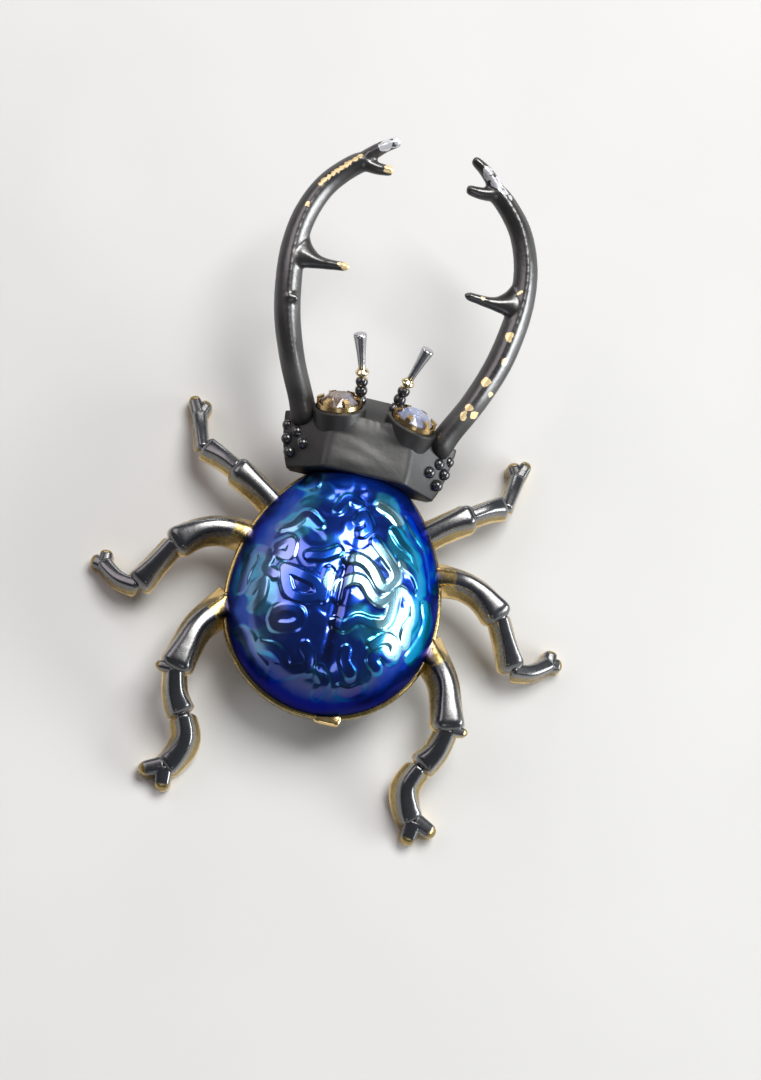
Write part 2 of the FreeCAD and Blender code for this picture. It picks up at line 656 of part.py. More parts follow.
# Eye cups: gold claw cups, turned from a profile, with six claws bent over the stone
def cup_body(name, side):
    """A cup with a floor and a wall, and a ring of claws patterned about its axis."""
    body = doc.addObject("PartDesign::Body", name)
    radius = size("cup_radius")
    wall = size("cup_wall")
    height = size("cup_height")
    floor = size("cup_floor")
    sketch = body.newObject("Sketcher::SketchObject", name + "_profile")
    sketch.AttachmentSupport = [(plane(body, "XZ_Plane"), "")]
    sketch.MapMode = "FlatFace"
    profile = [(0, 0), (radius, 0), (radius, height), (radius - wall, height),
               (radius - wall, floor), (0, floor)]
    for index, (x, z) in enumerate(profile):
        after_x, after_z = profile[(index + 1) % len(profile)]
        line = Part.LineSegment(FreeCAD.Vector(x, z, 0), FreeCAD.Vector(after_x, after_z, 0))
        sketch.addGeometry(line, False)
    for index in range(len(profile)):
        after = (index + 1) % len(profile)
        sketch.addConstraint(Sketcher.Constraint("Coincident", index, 2, after, 1))
    for index in (0, 2, 4):
        sketch.addConstraint(Sketcher.Constraint("Horizontal", index))
    for index in (1, 3, 5):
        sketch.addConstraint(Sketcher.Constraint("Vertical", index))
    sketch.addConstraint(Sketcher.Constraint("Coincident", 0, 1, -1, 1))
    bound = [
        ("DistanceX", 0, 1, 0, 2, radius, "cup_radius"),
        ("DistanceY", 1, 1, 1, 2, height, "cup_height"),
        ("DistanceX", 2, 2, 2, 1, wall, "cup_wall"),
        ("DistanceY", 5, 2, 5, 1, floor, "cup_floor"),
    ]
    for kind, first, first_end, second, second_end, value, alias in bound:
        number = sketch.addConstraint(
            Sketcher.Constraint(kind, first, first_end, second, second_end, value)
        )
        sketch.setExpression(f"Constraints[{number}]", f"<<sizes>>.{alias}")
    turned = body.newObject("PartDesign::Revolution", name + "_wall")
    turned.Profile = sketch
    turned.ReferenceAxis = (sketch, ["V_Axis"])
    turned.Angle = 360
    doc.recompute()

    claw_sketch = body.newObject("Sketcher::SketchObject", name + "_claw_side")
    claw_sketch.AttachmentSupport = [(plane(body, "XZ_Plane"), "")]
    claw_sketch.MapMode = "FlatFace"
    skin = 0.02
    outside = radius - skin
    inside = radius - wall + skin
    hook = size("stone_radius") - size("claw_reach")
    thick = size("claw_thick")
    root = height - size("claw_sunk")
    tip = height + size("claw_rise")
    claw = [(inside, root), (outside, root), (outside, tip),
            (hook, tip + thick), (hook, tip), (inside, tip - thick + skin)]
    for index, (x, z) in enumerate(claw):
        after_x, after_z = claw[(index + 1) % len(claw)]
        line = Part.LineSegment(FreeCAD.Vector(x, z, 0), FreeCAD.Vector(after_x, after_z, 0))
        claw_sketch.addGeometry(line, False)
    for index in range(len(claw)):
        after = (index + 1) % len(claw)
        claw_sketch.addConstraint(Sketcher.Constraint("Coincident", index, 2, after, 1))
    claw_pad = body.newObject("PartDesign::Pad", name + "_claw")
    claw_pad.Profile = claw_sketch
    claw_pad.setExpression("Length", "<<sizes>>.claw_width")
    claw_pad.Midplane = True
    doc.recompute()
    claws = body.newObject("PartDesign::PolarPattern", name + "_claws")
    claws.Originals = [claw_pad]
    claws.Axis = (sketch, ["V_Axis"])
    claws.Angle = 360
    claws.setExpression("Occurrences", "<<sizes>>.claw_count")
    body.Tip = claws
    body.Label = name
    body.Placement = cup_placement(side)
    return body


# Eye stones: clear cut stones with a table, sixteen crown facets and a pointed back
def stone_shape():
    """A faceted solid: table, crown, girdle and pavilion, eight-sided."""
    girdle = size("stone_radius")
    table = size("stone_table")
    band = size("stone_girdle")
    levels = [
        (table, band + size("stone_crown"), 0.5),
        (girdle, band, 0.0),
        (girdle, 0.0, 0.0),
    ]
    rings = []
    for radius, level, turn in levels:
        ring = []
        for step in range(8):
            angle = 2 * math.pi * (step + turn) / 8
            ring.append(FreeCAD.Vector(radius * math.cos(angle), radius * math.sin(angle), level))
        rings.append(ring)
    top, upper, lower_ring = rings
    point = FreeCAD.Vector(0, 0, -size("stone_depth"))
    polygons = [top]
    for step in range(8):
        after = (step + 1) % 8
        polygons.append([upper[step], upper[after], top[step]])
        polygons.append([top[step], upper[after], top[after]])
        polygons.append([lower_ring[step], lower_ring[after], upper[after], upper[step]])
        polygons.append([lower_ring[after], lower_ring[step], point])
    faces = [Part.Face(Part.makePolygon(corners + corners[:1])) for corners in polygons]
    shell = Part.makeShell(faces)
    shell.sewShape()
    solid = Part.Solid(shell)
    if solid.Volume < 0:
        solid.reverse()
    return solid


nodes = [leg_frame, wing_case, head_and_jaws]
for side_name, side in SIDES.items():
    cup = cup_body(f"eye_cup_{side_name}", side)
    seat = cup_placement(side)
    stone = feature(f"eye_stone_{side_name}", stone_shape())
    stone.Label = stone.Name
    rise = size("cup_height") - size("stone_sunk")
    lift = seat.Rotation.multVec(UP) * rise
    stone.Placement = FreeCAD.Placement(seat.Base + lift, seat.Rotation)
    nodes += [cup, stone]

# Brooch pin: a plain bar with a hinge block, a closed stem and a catch, fixed under the plate
bar_top = size("plate_base") - size("piece_gap")
bar_low = bar_top - size("bar_thick")
bar_heart = bar_top - size("bar_thick") / 2
front_end = size("bar_middle") + size("bar_length") / 2
back_end = size("bar_middle") - size("bar_length") / 2
stem_start = front_end - size("block_length") / 2
stem_end = back_end + size("catch_inset")
to_the_back = FreeCAD.Rotation(UP, FreeCAD.Vector(0, -1, 0))

bar = doc.addObject("Part::Box", "pin_bar")
bar.setExpression("Length", "<<sizes>>.bar_width")
bar.setExpression("Width", "<<sizes>>.bar_length")
bar.setExpression("Height", "<<sizes>>.bar_thick")
bar.Placement.Base = FreeCAD.Vector(-size("bar_width") / 2, back_end, bar_low)

block = doc.addObject("Part::Box", "hinge_block")
block_low = size("stem_level") - 2 * size("stem_radius")
block_start = front_end - size("block_length") - size("block_inset")
block.setExpression("Length", "<<sizes>>.block_width")
block.setExpression("Width", "<<sizes>>.block_length")
block.Height = bar_heart - block_low
block.Placement.Base = FreeCAD.Vector(-size("block_width") / 2, block_start, block_low)

stem = doc.addObject("Part::Cylinder", "pin_stem")
stem.setExpression("Radius", "<<sizes>>.stem_radius")
stem.Height = stem_start - stem_end
point = doc.addObject("Part::Cone", "pin_point")
point.setExpression("Radius1", "<<sizes>>.stem_radius")
point.setExpression("Radius2", "<<sizes>>.point_radius")
point.setExpression("Height", "<<sizes>>.point_length")

# The catch is a short barrel, bored from the front to hold the stem's point
catch_start = stem_end + size("catch_length") - size("catch_bore") / 2
catch_outer = doc.addObject("Part::Cylinder", "catch_outer")
catch_outer.setExpression("Radius", "<<sizes>>.catch_radius")
catch_outer.setExpression("Height", "<<sizes>>.catch_length")
catch_inner = doc.addObject("Part::Cylinder", "catch_inner")
catch_inner.setExpression("Radius", "<<sizes>>.catch_radius - <<sizes>>.catch_wall")
catch_inner.setExpression("Height", "<<sizes>>.catch_bore + <<sizes>>.catch_cap")
catch = doc.addObject("Part::Cut", "catch")
catch.Base = catch_outer
catch.Tool = catch_inner
starts = [
    (stem, stem_start),
    (point, stem_end),
    (catch_outer, catch_start),
    (catch_inner, catch_start + size("catch_cap")),
]
for item, start in starts:
    spot = FreeCAD.Vector(0, start, size("stem_level"))
    item.Placement = FreeCAD.Placement(spot, to_the_back)

stalk = doc.addObject("Part::Box", "catch_stalk")
stalk_low = size("stem_level") + size("catch_radius") - size("catch_wall")
stalk.setExpression("Length", "<<sizes>>.stalk_width")
stalk.setExpression("Width", "<<sizes>>.catch_length")
stalk.Height = bar_heart - stalk_low
stalk_start = catch_start - size("catch_length")
stalk.Placement.Base = FreeCAD.Vector(-size("stalk_width") / 2, stalk_start, stalk_low)

brooch_pin = doc.addObject("Part::MultiFuse", "brooch_pin")
brooch_pin.Shapes = [bar, block, stem, point, catch, stalk]
brooch_pin.Label = "brooch_pin"
nodes.append(brooch_pin)
doc.recompute()

for item in doc.Objects:
    if "Invalid" in item.State or "Error" in item.State:
        raise RuntimeError(f"{item.Name} failed: {item.State}")
os.makedirs("parts", exist_ok=True)
for node in nodes:
    shape = node.Shape
    if shape.isNull() or not shape.isValid():
        raise RuntimeError(f"{node.Label} has no valid shape")
    if len(shape.Solids) != 1:
        raise RuntimeError(f"{node.Label} has {len(shape.Solids)} solids")
    shape.exportStep(os.path.join("parts", node.Label + ".step"))
    box = shape.BoundBox
    reach = (box.XMin, box.XMax, box.YMin, box.YMax, box.ZMin, box.ZMax)
    print(node.Label, "volume %.1f faces %d" % (shape.Volume, len(shape.Faces)),
          "x %.2f %.2f y %.2f %.2f z %.2f %.2f" % reach)
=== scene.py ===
import math

import bpy
import numpy as np
from mathutils import Matrix


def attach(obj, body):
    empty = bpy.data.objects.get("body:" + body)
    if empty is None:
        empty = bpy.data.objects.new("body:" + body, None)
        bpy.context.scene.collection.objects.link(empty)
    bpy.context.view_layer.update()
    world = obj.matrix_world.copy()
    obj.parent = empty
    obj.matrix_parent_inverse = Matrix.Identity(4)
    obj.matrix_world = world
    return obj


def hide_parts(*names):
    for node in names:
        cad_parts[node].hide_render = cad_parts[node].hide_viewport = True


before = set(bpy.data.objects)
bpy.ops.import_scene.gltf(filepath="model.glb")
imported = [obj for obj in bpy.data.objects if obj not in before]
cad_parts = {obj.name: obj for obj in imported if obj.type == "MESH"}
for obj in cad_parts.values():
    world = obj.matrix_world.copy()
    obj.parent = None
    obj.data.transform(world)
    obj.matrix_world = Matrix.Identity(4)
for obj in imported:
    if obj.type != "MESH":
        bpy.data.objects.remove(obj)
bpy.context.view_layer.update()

MM = 0.001


# Table top: a plain pale floor with soft lamps round it, and the camera, which looks down from
# behind the beetle and a little from its left, as the photograph does.
PITCH = math.radians(14.0)
LEAN = math.radians(3.802)
ROLL = math.radians(12.962)
EYE_MM = (-9.685, -48.846, 186.261)
LENS_MM = 76.0
SENSOR_HEIGHT_MM = 36.0

camera_data = bpy.data.cameras.new("camera")
camera_data.sensor_fit = "VERTICAL"
camera_data.sensor_height = SENSOR_HEIGHT_MM
camera_data.lens = LENS_MM
camera_data.clip_start = 0.01
camera = bpy.data.objects.new("camera", camera_data)
bpy.context.scene.collection.objects.link(camera)
tilt = Matrix.Rotation(PITCH, 3, "X")
lean = Matrix.Rotation(-LEAN, 3, "Y")
roll = Matrix.Rotation(ROLL, 3, "Z")
turn = (tilt @ lean @ roll).to_4x4()
camera.matrix_world = Matrix.Translation([value * MM for value in EYE_MM]) @ turn
bpy.context.scene.camera = camera

LAMPS = [
    # name, azimuth, elevation, distance (m), width (m), height (m), power (W), colour
    ("key", 64, 62, 0.60, 0.34, 0.27, 5.0, (1.0, 0.99, 0.97)),
    ("right", -3, 19, 0.60, 0.42, 0.20, 4.4, (0.95, 0.98, 1.0)),
    ("left", 162, 38, 0.65, 0.46, 0.44, 1.6, (1.0, 0.90, 0.94)),
    ("front", 100, 10, 0.60, 0.26, 0.10, 0.6, (1.0, 1.0, 1.0)),
    ("behind", -85, 30, 0.80, 0.24, 0.14, 0.3, (0.90, 0.94, 1.0)),
]
for name, azimuth, elevation, distance, width, height, power, colour in LAMPS:
    lamp_data = bpy.data.lights.new(name, "AREA")
    lamp_data.shape = "RECTANGLE"
    lamp_data.size = width
    lamp_data.size_y = height
    lamp_data.energy = power
    lamp_data.color = colour
    lamp = bpy.data.objects.new(name, lamp_data)
    aim = Matrix.Rotation(math.radians(azimuth + 90), 4, "Z")
    aim = aim @ Matrix.Rotation(math.radians(90 - elevation), 4, "X")
    lamp.matrix_world = aim @ Matrix.Translation((0, 0, distance))
    bpy.context.scene.collection.objects.link(lamp)

world = bpy.data.worlds.new("studio")
world.use_nodes = True
world.node_tree.nodes["Background"].inputs["Color"].default_value = (0.80, 0.84, 0.90, 1)
world.node_tree.nodes["Background"].inputs["Strength"].default_value = 0.09
bpy.context.scene.world = world
bpy.context.scene.view_settings.view_transform = "Standard"


class Wire:
    """A number or colour on its way through a material. Sums, differences and products of wires
    and plain numbers become Math nodes, so the formulas below read as they are meant."""

    def __init__(self, tree, socket):
        self.tree = tree
        self.socket = socket

    def node(self, kind, output=0, settings=None, **inputs):
        """Any other node of the same material: its settings first, then its inputs, by name with
        _ for a space, or by number as i0 and i1."""
        made = self.tree.nodes.new(kind)
        for key, value in (settings or {}).items():
            setattr(made, key, value)
        for key, value in inputs.items():
            slot = made.inputs[int(key[1:]) if key[1:].isdigit() else key.replace("_", " ")]
            if isinstance(value, Wire):
                self.tree.links.new(value.socket, slot)
            else:
                slot.default_value = value
        return Wire(self.tree, made.outputs[output])

    def _math(self, operation, first, second):
        return self.node("ShaderNodeMath", settings={"operation": operation}, i0=first, i1=second)

    def __add__(self, other):
        return self._math("ADD", self, other)

    def __radd__(self, other):
        return self._math("ADD", other, self)

    def __sub__(self, other):
        return self._math("SUBTRACT", self, other)

    def __rsub__(self, other):
        return self._math("SUBTRACT", other, self)

    def __mul__(self, other):
        return self._math("MULTIPLY", self, other)

    def __rmul__(self, other):
        return self._math("MULTIPLY", other, self)

    def larger(self, other):
        """The larger of two numbers."""
        return self._math("MAXIMUM", self, other)

    def lift(self, low, high):
        """A smooth step: 0 below low, 1 above high, or the other way round if low is higher."""
        settings = {"interpolation_type": "SMOOTHSTEP"}
        start, end = (0.0, 1.0) if low < high else (1.0, 0.0)
        return self.node("ShaderNodeMapRange", settings=settings, Value=self,
                         From_Min=min(low, high), From_Max=max(low, high), To_Min=start, To_Max=end)

    def near(self, spots):
        """1 inside any of the round spots (x, y, z, radius in mm) and 0 outside, with a soft rim
        half a radius wide, for a wire that carries a place."""
        found = None
        for x, y, z, radius in spots:
            centre = (x * MM, y * MM, z * MM)
            gap = self.node("ShaderNodeVectorMath", output=1, settings={"operation": "DISTANCE"},
                            i0=self, i1=centre)
            inside = gap.lift(radius * 1.25 * MM, radius * 0.75 * MM)
            found = inside if found is None else found.larger(inside)
        return found

    def axes(self):
        """The x, y and z of a wire that carries a place, in millimetres."""
        split = self.node("ShaderNodeSeparateXYZ", Vector=self).socket.node
        return [Wire(self.tree, socket) * 1000.0 for socket in split.outputs]

    def blend(self, first, second):
        """The mix of two colours that this number, from 0 to 1, sets."""
        made = self.tree.nodes.new("ShaderNodeMix")
        made.data_type = "RGBA"
        self.tree.links.new(self.socket, made.inputs[0])
        for slot, value in ((made.inputs[6], first), (made.inputs[7], second)):
            if isinstance(value, Wire):
                self.tree.links.new(value.socket, slot)
            else:
                slot.default_value = (*value, 1.0)
        return Wire(self.tree, made.outputs[2])


def new_material(name, **constants):
    """A material with its shader's fixed values set, and a wire to build its pattern from."""
    material = bpy.data.materials.new(name)
    material.use_nodes = True
    shader = material.node_tree.nodes["Principled BSDF"]
    for key, value in constants.items():
        shader.inputs[key.replace("_", " ")].default_value = value
    tree = material.node_tree
    place = tree.nodes.new("ShaderNodeTexCoord").outputs["Object"]
    return material, shader, Wire(tree, place)


def feed(shader, **inputs):
    """Connects wires to a shader's inputs by name."""
    for key, wire in inputs.items():
        wire.tree.links.new(wire.socket, shader.inputs[key.replace("_", " ")])


def grain(place, scale, detail=3.0):
    """Cloudy noise at a place, scale in patches per metre."""
    return place.node("ShaderNodeTexNoise", Vector=place, Scale=scale, Detail=detail)


FLOOR_HALF = 1.5
floor_data = bpy.data.meshes.new("floor")
corners = [(FLOOR_HALF * x, FLOOR_HALF * y, 0) for x, y in ((-1, -1), (1, -1), (1, 1), (-1, 1))]
floor_data.from_pydata(corners, [], [(0, 1, 2, 3)])
floor = bpy.data.objects.new("floor", floor_data)
bpy.context.scene.collection.objects.link(floor)
paper, paper_shader, place = new_material("pale_paper", Roughness=0.85)
tone = grain(place, 40.0)
feed(paper_shader, Base_Color=tone.blend((0.44, 0.44, 0.435), (0.49, 0.49, 0.485)))
floor_data.materials.append(paper)


# Legs: six bent legs cast in one piece with the base plate, gold plated. Black lacquer covers
# the rounded crown of each leg and thins to olive down its flared sides, leaving gold edges.
def smooth_run(table, count):
    """Rows of a table made dense: between two rows each column follows the cubic Hermite blend
    of the rows and of the slopes there, which are half the difference of the neighbours."""
    rows = np.asarray(table, float)
    place = np.linspace(0, len(rows) - 1, count)
    first = np.minimum(place.astype(int), len(rows) - 2)
    share = (place - first)[:, None]
    slope = np.gradient(rows, axis=0)
    square, cube = share ** 2, share ** 3
    return ((2 * cube - 3 * square + 1) * rows[first] + (cube - 2 * square + share) * slope[first]
            + (3 * square - 2 * cube) * rows[first + 1] + (cube - square) * slope[first + 1])


def closed_faces(rows, columns, start):
    """Quads between neighbouring rings of points, and triangles from the first and the last ring
    to a middle point each. The points are numbered from start, ring by ring, middles last."""
    index = start + np.arange(rows * columns).reshape(rows, columns)
    after = np.roll(index, -1, axis=1)
    quads = np.stack([index[:-1], after[:-1], after[1:], index[1:]], axis=-1).reshape(-1, 4)
    first, last = start + rows * columns, start + rows * columns + 1
    cap = np.stack([after[0], index[0], np.full(columns, first)], axis=-1)
    lid = np.stack([index[-1], after[-1], np.full(columns, last)], axis=-1)
    return quads.tolist() + cap.tolist() + lid.tolist()


def closed_mesh(name, tubes, attributes=None):
    """One object from closed tubes, each an array of rings of points in millimetres. The rings
    run so that faces point outwards. Attributes hold one number per point of every tube."""
    points, faces, values = [], [], {key: [] for key in attributes or {}}
    start = 0
    for number, tube in enumerate(tubes):
        rows, columns, _ = tube.shape
        middles = np.stack([tube[0].mean(axis=0), tube[-1].mean(axis=0)])
        points.append(np.concatenate([tube.reshape(-1, 3), middles]))
        faces += closed_faces(rows, columns, start)
        start += rows * columns + 2
        for key in values:
            field = attributes[key][number]
            ends = np.array([field[0].mean(), field[-1].mean()])
            values[key].append(np.concatenate([field.reshape(-1), ends]))
    mesh = bpy.data.meshes.new(name)
    mesh.from_pydata((np.concatenate(points) * MM).tolist(), [], faces)
    mesh.polygons.foreach_set("use_smooth", np.full(len(faces), True))
    for key, parts in values.items():
        layer = mesh.attributes.new(key, "FLOAT", "POINT")
        layer.data.foreach_set("value", np.concatenate(parts).astype(np.float32))
    mesh.update()
    piece = bpy.data.objects.new(name, mesh)
    bpy.context.scene.collection.objects.link(piece)
    return piece


LIMB_SECTION = [
    # share of the foot's half width, share of the crown's half width, height from 0 to 1
    (0.00, 0.00, 0.00),
    (0.60, 0.00, 0.00),
    (0.97, 0.00, 0.01),
    (1.00, 0.00, 0.10),
    (0.78, 0.16, 0.30),
    (0.34, 0.64, 0.50),
    (0.00, 0.99, 0.76),
    (0.00, 0.80, 0.93),
    (0.00, 0.42, 0.99),
    (0.00, 0.00, 1.00),
]


def limb_tube(rows, count, around, section, side=1, tip=0.0, root=0.0):
    """A limb carried along its stations (x, y, top, underside, crown, foot): each ring is the
    section scaled to the station's widths and height, square to the way the limb runs. The ends
    close in a quarter circle over the stated shares of the length. Also gives height and run."""
    run = smooth_run(rows, count)
    half = smooth_run(section, around // 2 + 1)
    shape = np.concatenate([half, half[-2:0:-1] * [-1, -1, 1]])
    heading = np.gradient(run[:, :2], axis=0)
    heading /= np.linalg.norm(heading, axis=1)[:, None]
    across = np.stack([heading[:, 1], -heading[:, 0]], axis=1)
    share = np.linspace(0, 1, count)
    close = np.ones(count)
    if tip:
        close *= np.sqrt(np.clip(1 - np.clip(1 - (1 - share) / tip, 0, 1) ** 2, 0, 1))
    if root:
        close *= np.sqrt(np.clip(1 - np.clip(1 - share / root, 0, 1) ** 2, 0, 1))
    close = np.clip(close, 0.02, 1)
    foot, crown = run[:, 5] / 2, run[:, 4] / 2
    offset = (shape[None, :, 0] * foot[:, None] + shape[None, :, 1] * crown[:, None]) * close[:, None]
    height = 0.5 + (shape[None, :, 2] - 0.5) * close[:, None]
    tube = np.empty((count, len(shape), 3))
    tube[..., :2] = run[:, None, :2] + across[:, None, :] * offset[..., None]
    tube[..., 2] = run[:, 3, None] + (run[:, 2] - run[:, 3])[:, None] * height
    if side < 0:
        tube = tube[:, ::-1] * [-1, 1, 1]
    level = np.broadcast_to(shape[:, 2], (count, len(shape)))
    level = level[:, ::-1] if side < 0 else level
    return tube[:, ::-1], level[:, ::-1], np.broadcast_to(share[:, None], level.shape)


LEGS = {
    # Each segment: rows of x, y, top, underside, crown width, foot width (mm), right side
    "front": {
        "femur": [(5.4, -3.3, 5.5, 4.1, 1.5, 3.0), (7.0, -2.0, 5.8, 3.7, 1.3, 2.5),
                  (8.6, -0.9, 6.0, 3.6, 1.5, 2.5), (10.2, 0.1, 6.0, 3.6, 2.1, 2.7)],
        "tibia": [(9.8, -0.15, 5.6, 3.7, 1.0, 1.8), (11.4, 0.9, 5.1, 2.9, 1.2, 1.9),
                  (12.9, 1.75, 4.2, 2.0, 1.7, 2.2)],
        "tarsus": [(12.9, 1.35, 3.8, 1.8, 0.9, 1.4), (13.4, 3.4, 3.1, 0.7, 1.1, 1.4),
                   (13.8, 5.1, 2.2, 0.0, 1.3, 1.6)],
        "outer_claw": [(13.75, 4.7, 2.0, 0.0, 1.25, 1.45), (14.5, 6.4, 1.6, 0.0, 0.95, 1.15)],
        "inner_claw": [(13.75, 4.7, 2.0, 0.0, 1.25, 1.45), (13.1, 6.1, 1.6, 0.0, 0.95, 1.15)],
    },
    "middle": {
        "femur": [(7.0, -5.8, 5.5, 4.1, 1.7, 3.1), (9.7, -5.6, 6.2, 3.7, 1.4, 2.6),
                  (11.4, -6.05, 6.4, 3.9, 1.4, 2.5), (12.7, -6.9, 6.4, 4.0, 1.8, 2.6),
                  (13.9, -8.0, 6.3, 3.9, 2.6, 3.0)],
        "tibia": [(13.6, -7.6, 5.9, 3.9, 1.1, 2.0), (14.85, -9.7, 5.0, 2.8, 1.3, 2.1),
                  (15.95, -11.5, 4.1, 1.7, 2.0, 2.5)],
        "tarsus": [(15.6, -11.45, 3.7, 1.6, 1.0, 1.7), (17.3, -11.1, 3.1, 0.9, 1.1, 1.6),
                   (18.5, -10.3, 2.5, 0.3, 1.2, 1.5), (19.1, -9.6, 2.1, 0.0, 1.3, 1.5)],
        "outer_claw": [(18.8, -10.0, 2.0, 0.0, 1.25, 1.45), (20.1, -9.75, 1.6, 0.0, 0.95, 1.15)],
        "inner_claw": [(18.9, -9.9, 2.0, 0.0, 1.25, 1.45), (18.95, -8.7, 1.7, 0.0, 0.95, 1.15)],
    },
    "hind": {
        "femur": [(8.0, -11.3, 5.4, 4.1, 1.8, 3.2), (10.1, -13.7, 6.2, 3.7, 1.5, 2.7),
                  (10.9, -16.1, 6.4, 4.0, 1.9, 2.7), (11.4, -18.1, 6.4, 4.0, 2.7, 3.1)],
        "spur": [(11.5, -17.8, 5.9, 4.3, 0.9, 1.1), (12.9, -17.8, 5.5, 4.7, 0.6, 0.7)],
        "tibia": [(11.3, -17.7, 5.9, 3.9, 1.2, 2.0), (10.8, -19.6, 5.1, 2.9, 1.4, 2.2),
                  (9.8, -21.1, 4.4, 2.0, 1.9, 2.5)],
        "metatarsus": [(9.9, -20.8, 4.0, 1.9, 1.1, 2.2), (9.2, -22.7, 3.4, 1.1, 1.3, 2.5),
                       (9.7, -24.3, 2.8, 0.4, 1.6, 2.4), (10.5, -25.4, 2.3, 0.0, 1.9, 2.2)],
        "outer_claw": [(10.4, -25.1, 2.2, 0.0, 1.5, 1.7), (12.4, -25.9, 1.7, 0.0, 1.1, 1.3)],
        "inner_claw": [(10.4, -25.2, 2.2, 0.0, 1.5, 1.7), (10.15, -27.2, 1.6, 0.0, 1.1, 1.3)],
    },
}
SIDES = {"left": -1, "right": 1}
FRONT_SWING = math.radians(3.0)
CLAW_TIP, JOINT_END, JOINT_ROOT = 0.32, 0.15, 0.08
BARE_LEVEL, LACQUER_RISE = 0.05, 0.80
BARE_ROOT, ROOT_FADE, CLAW_FADE = 0.07, 0.20, 0.55

lacquered, shader, place = new_material(
    "gold_under_black_lacquer", Coat_Roughness=0.24, Coat_IOR=1.9, IOR=1.65)
cover = place.node("ShaderNodeAttribute", output=2, settings={"attribute_name": "lacquer"})
patchy = cover + (grain(place, 700.0) - 0.5) * 0.36 + (grain(place, 2600.0) - 0.5) * 0.14
thin = patchy.lift(0.12, 0.26)
thick = patchy.lift(0.58, 0.76)
gold = grain(place, 500.0).blend((0.78, 0.50, 0.17), (0.95, 0.74, 0.38))
olive = grain(place, 1500.0).blend((0.20, 0.145, 0.05), (0.50, 0.38, 0.16))
black = grain(place, 260.0).blend((0.005, 0.006, 0.008), (0.014, 0.015, 0.019))
feed(shader,
     Base_Color=thick.blend(thin.blend(gold, olive), black),
     Metallic=1.0 - thick,
     Roughness=0.21 + thin * 0.06 + (grain(place, 2500.0) - 0.5) * 0.12,
     Coat_Weight=thick * 0.65)
bump = place.node("ShaderNodeBump", Height=grain(place, 1400.0), Strength=0.25, Distance=0.0001)
feed(shader, Normal=bump)


def swung(rows, pivot, angle):
    """Stations turned in the plane about a pivot."""
    rows = np.array(rows, float)
    spin = np.array([[math.cos(angle), math.sin(angle)], [-math.sin(angle), math.cos(angle)]])
    rows[:, :2] = (rows[:, :2] - pivot) @ spin + pivot
    return rows


for leg, segments in LEGS.items():
    for side_name, side in SIDES.items():
        pivot = np.array(segments["femur"][0][:2])
        swing = FRONT_SWING * side if leg == "front" else 0.0
        tubes, lacquer = [], []
        for part, rows in segments.items():
            claw = part.endswith("claw") or part == "spur"
            tube, level, run = limb_tube(
                swung(rows, pivot, swing), 40, 40, LIMB_SECTION, side,
                tip=CLAW_TIP if claw else JOINT_END, root=0.0 if part == "femur" else JOINT_ROOT)
            tubes.append(tube)
            dark = np.clip((level - BARE_LEVEL) / LACQUER_RISE, 0, 1)
            if part == "femur":
                dark = dark * np.clip((run - BARE_ROOT) / ROOT_FADE, 0, 1)
            if claw:
                dark = dark * np.clip((1.0 - run) / CLAW_FADE, 0, 1) ** 0.5
            lacquer.append(dark)
        piece = closed_mesh(f"leg_{leg}_{side_name}", tubes, {"lacquer": lacquer})
        piece.data.materials.append(lacquered)
        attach(piece, "root")
        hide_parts("leg_frame")


# Base plate: the flat egg-shaped part of the gold casting, a little wider than the dome, with
# a tongue that carries the head and a small tab at the rear. It shows as a thin gold line.
DOME_MIDDLE = -10.0
REAR_CIRCLE = (0.0, -10.5, 8.55)
NOSE_CIRCLE = (0.0, -4.3, 6.2)
FLANK_RADIUS = 14.0
PLATE_OVERHANG = 0.3
PLATE_LACQUER, TAB_LACQUER = 0.60, 0.12
ROOT_BARE_MM = 1.5


def egg_reach(angle, grow=0.0):
    """Distance from the dome's middle to the egg outline: the far crossing of a ray with the
    rear circle, the flank arc or the nose circle, whichever the ray meets between its joins."""
    rear, nose = np.array(REAR_CIRCLE[:2]), np.array(NOSE_CIRCLE[:2])
    to_rear, to_nose = FLANK_RADIUS - REAR_CIRCLE[2], FLANK_RADIUS - NOSE_CIRCLE[2]
    apart = nose[1] - rear[1]
    along = (to_rear ** 2 - to_nose ** 2 + apart ** 2) / (2 * apart)
    flank = np.array([-math.sqrt(to_rear ** 2 - along ** 2), rear[1] + along])
    ray = np.stack([np.abs(np.cos(angle)), np.sin(angle)], axis=-1)

    def far_crossing(centre, radius):
        offset = np.array([0.0, DOME_MIDDLE]) - centre
        forward = ray @ offset
        inside = forward ** 2 - offset @ offset + (radius + grow) ** 2
        return -forward + np.sqrt(np.maximum(inside, 0))

    flank_reach = far_crossing(flank, FLANK_RADIUS)
    met = np.array([0.0, DOME_MIDDLE]) + ray * flank_reach[..., None] - flank
    seen = np.arctan2(met[..., 1], met[..., 0])
    rear_join = math.atan2(rear[1] - flank[1], -flank[0])
    nose_join = math.atan2(nose[1] - flank[1], -flank[0])
    reach = np.where(seen < rear_join, far_crossing(rear, REAR_CIRCLE[2]), flank_reach)
    return np.where(seen > nose_join, far_crossing(nose, NOSE_CIRCLE[2]), reach)


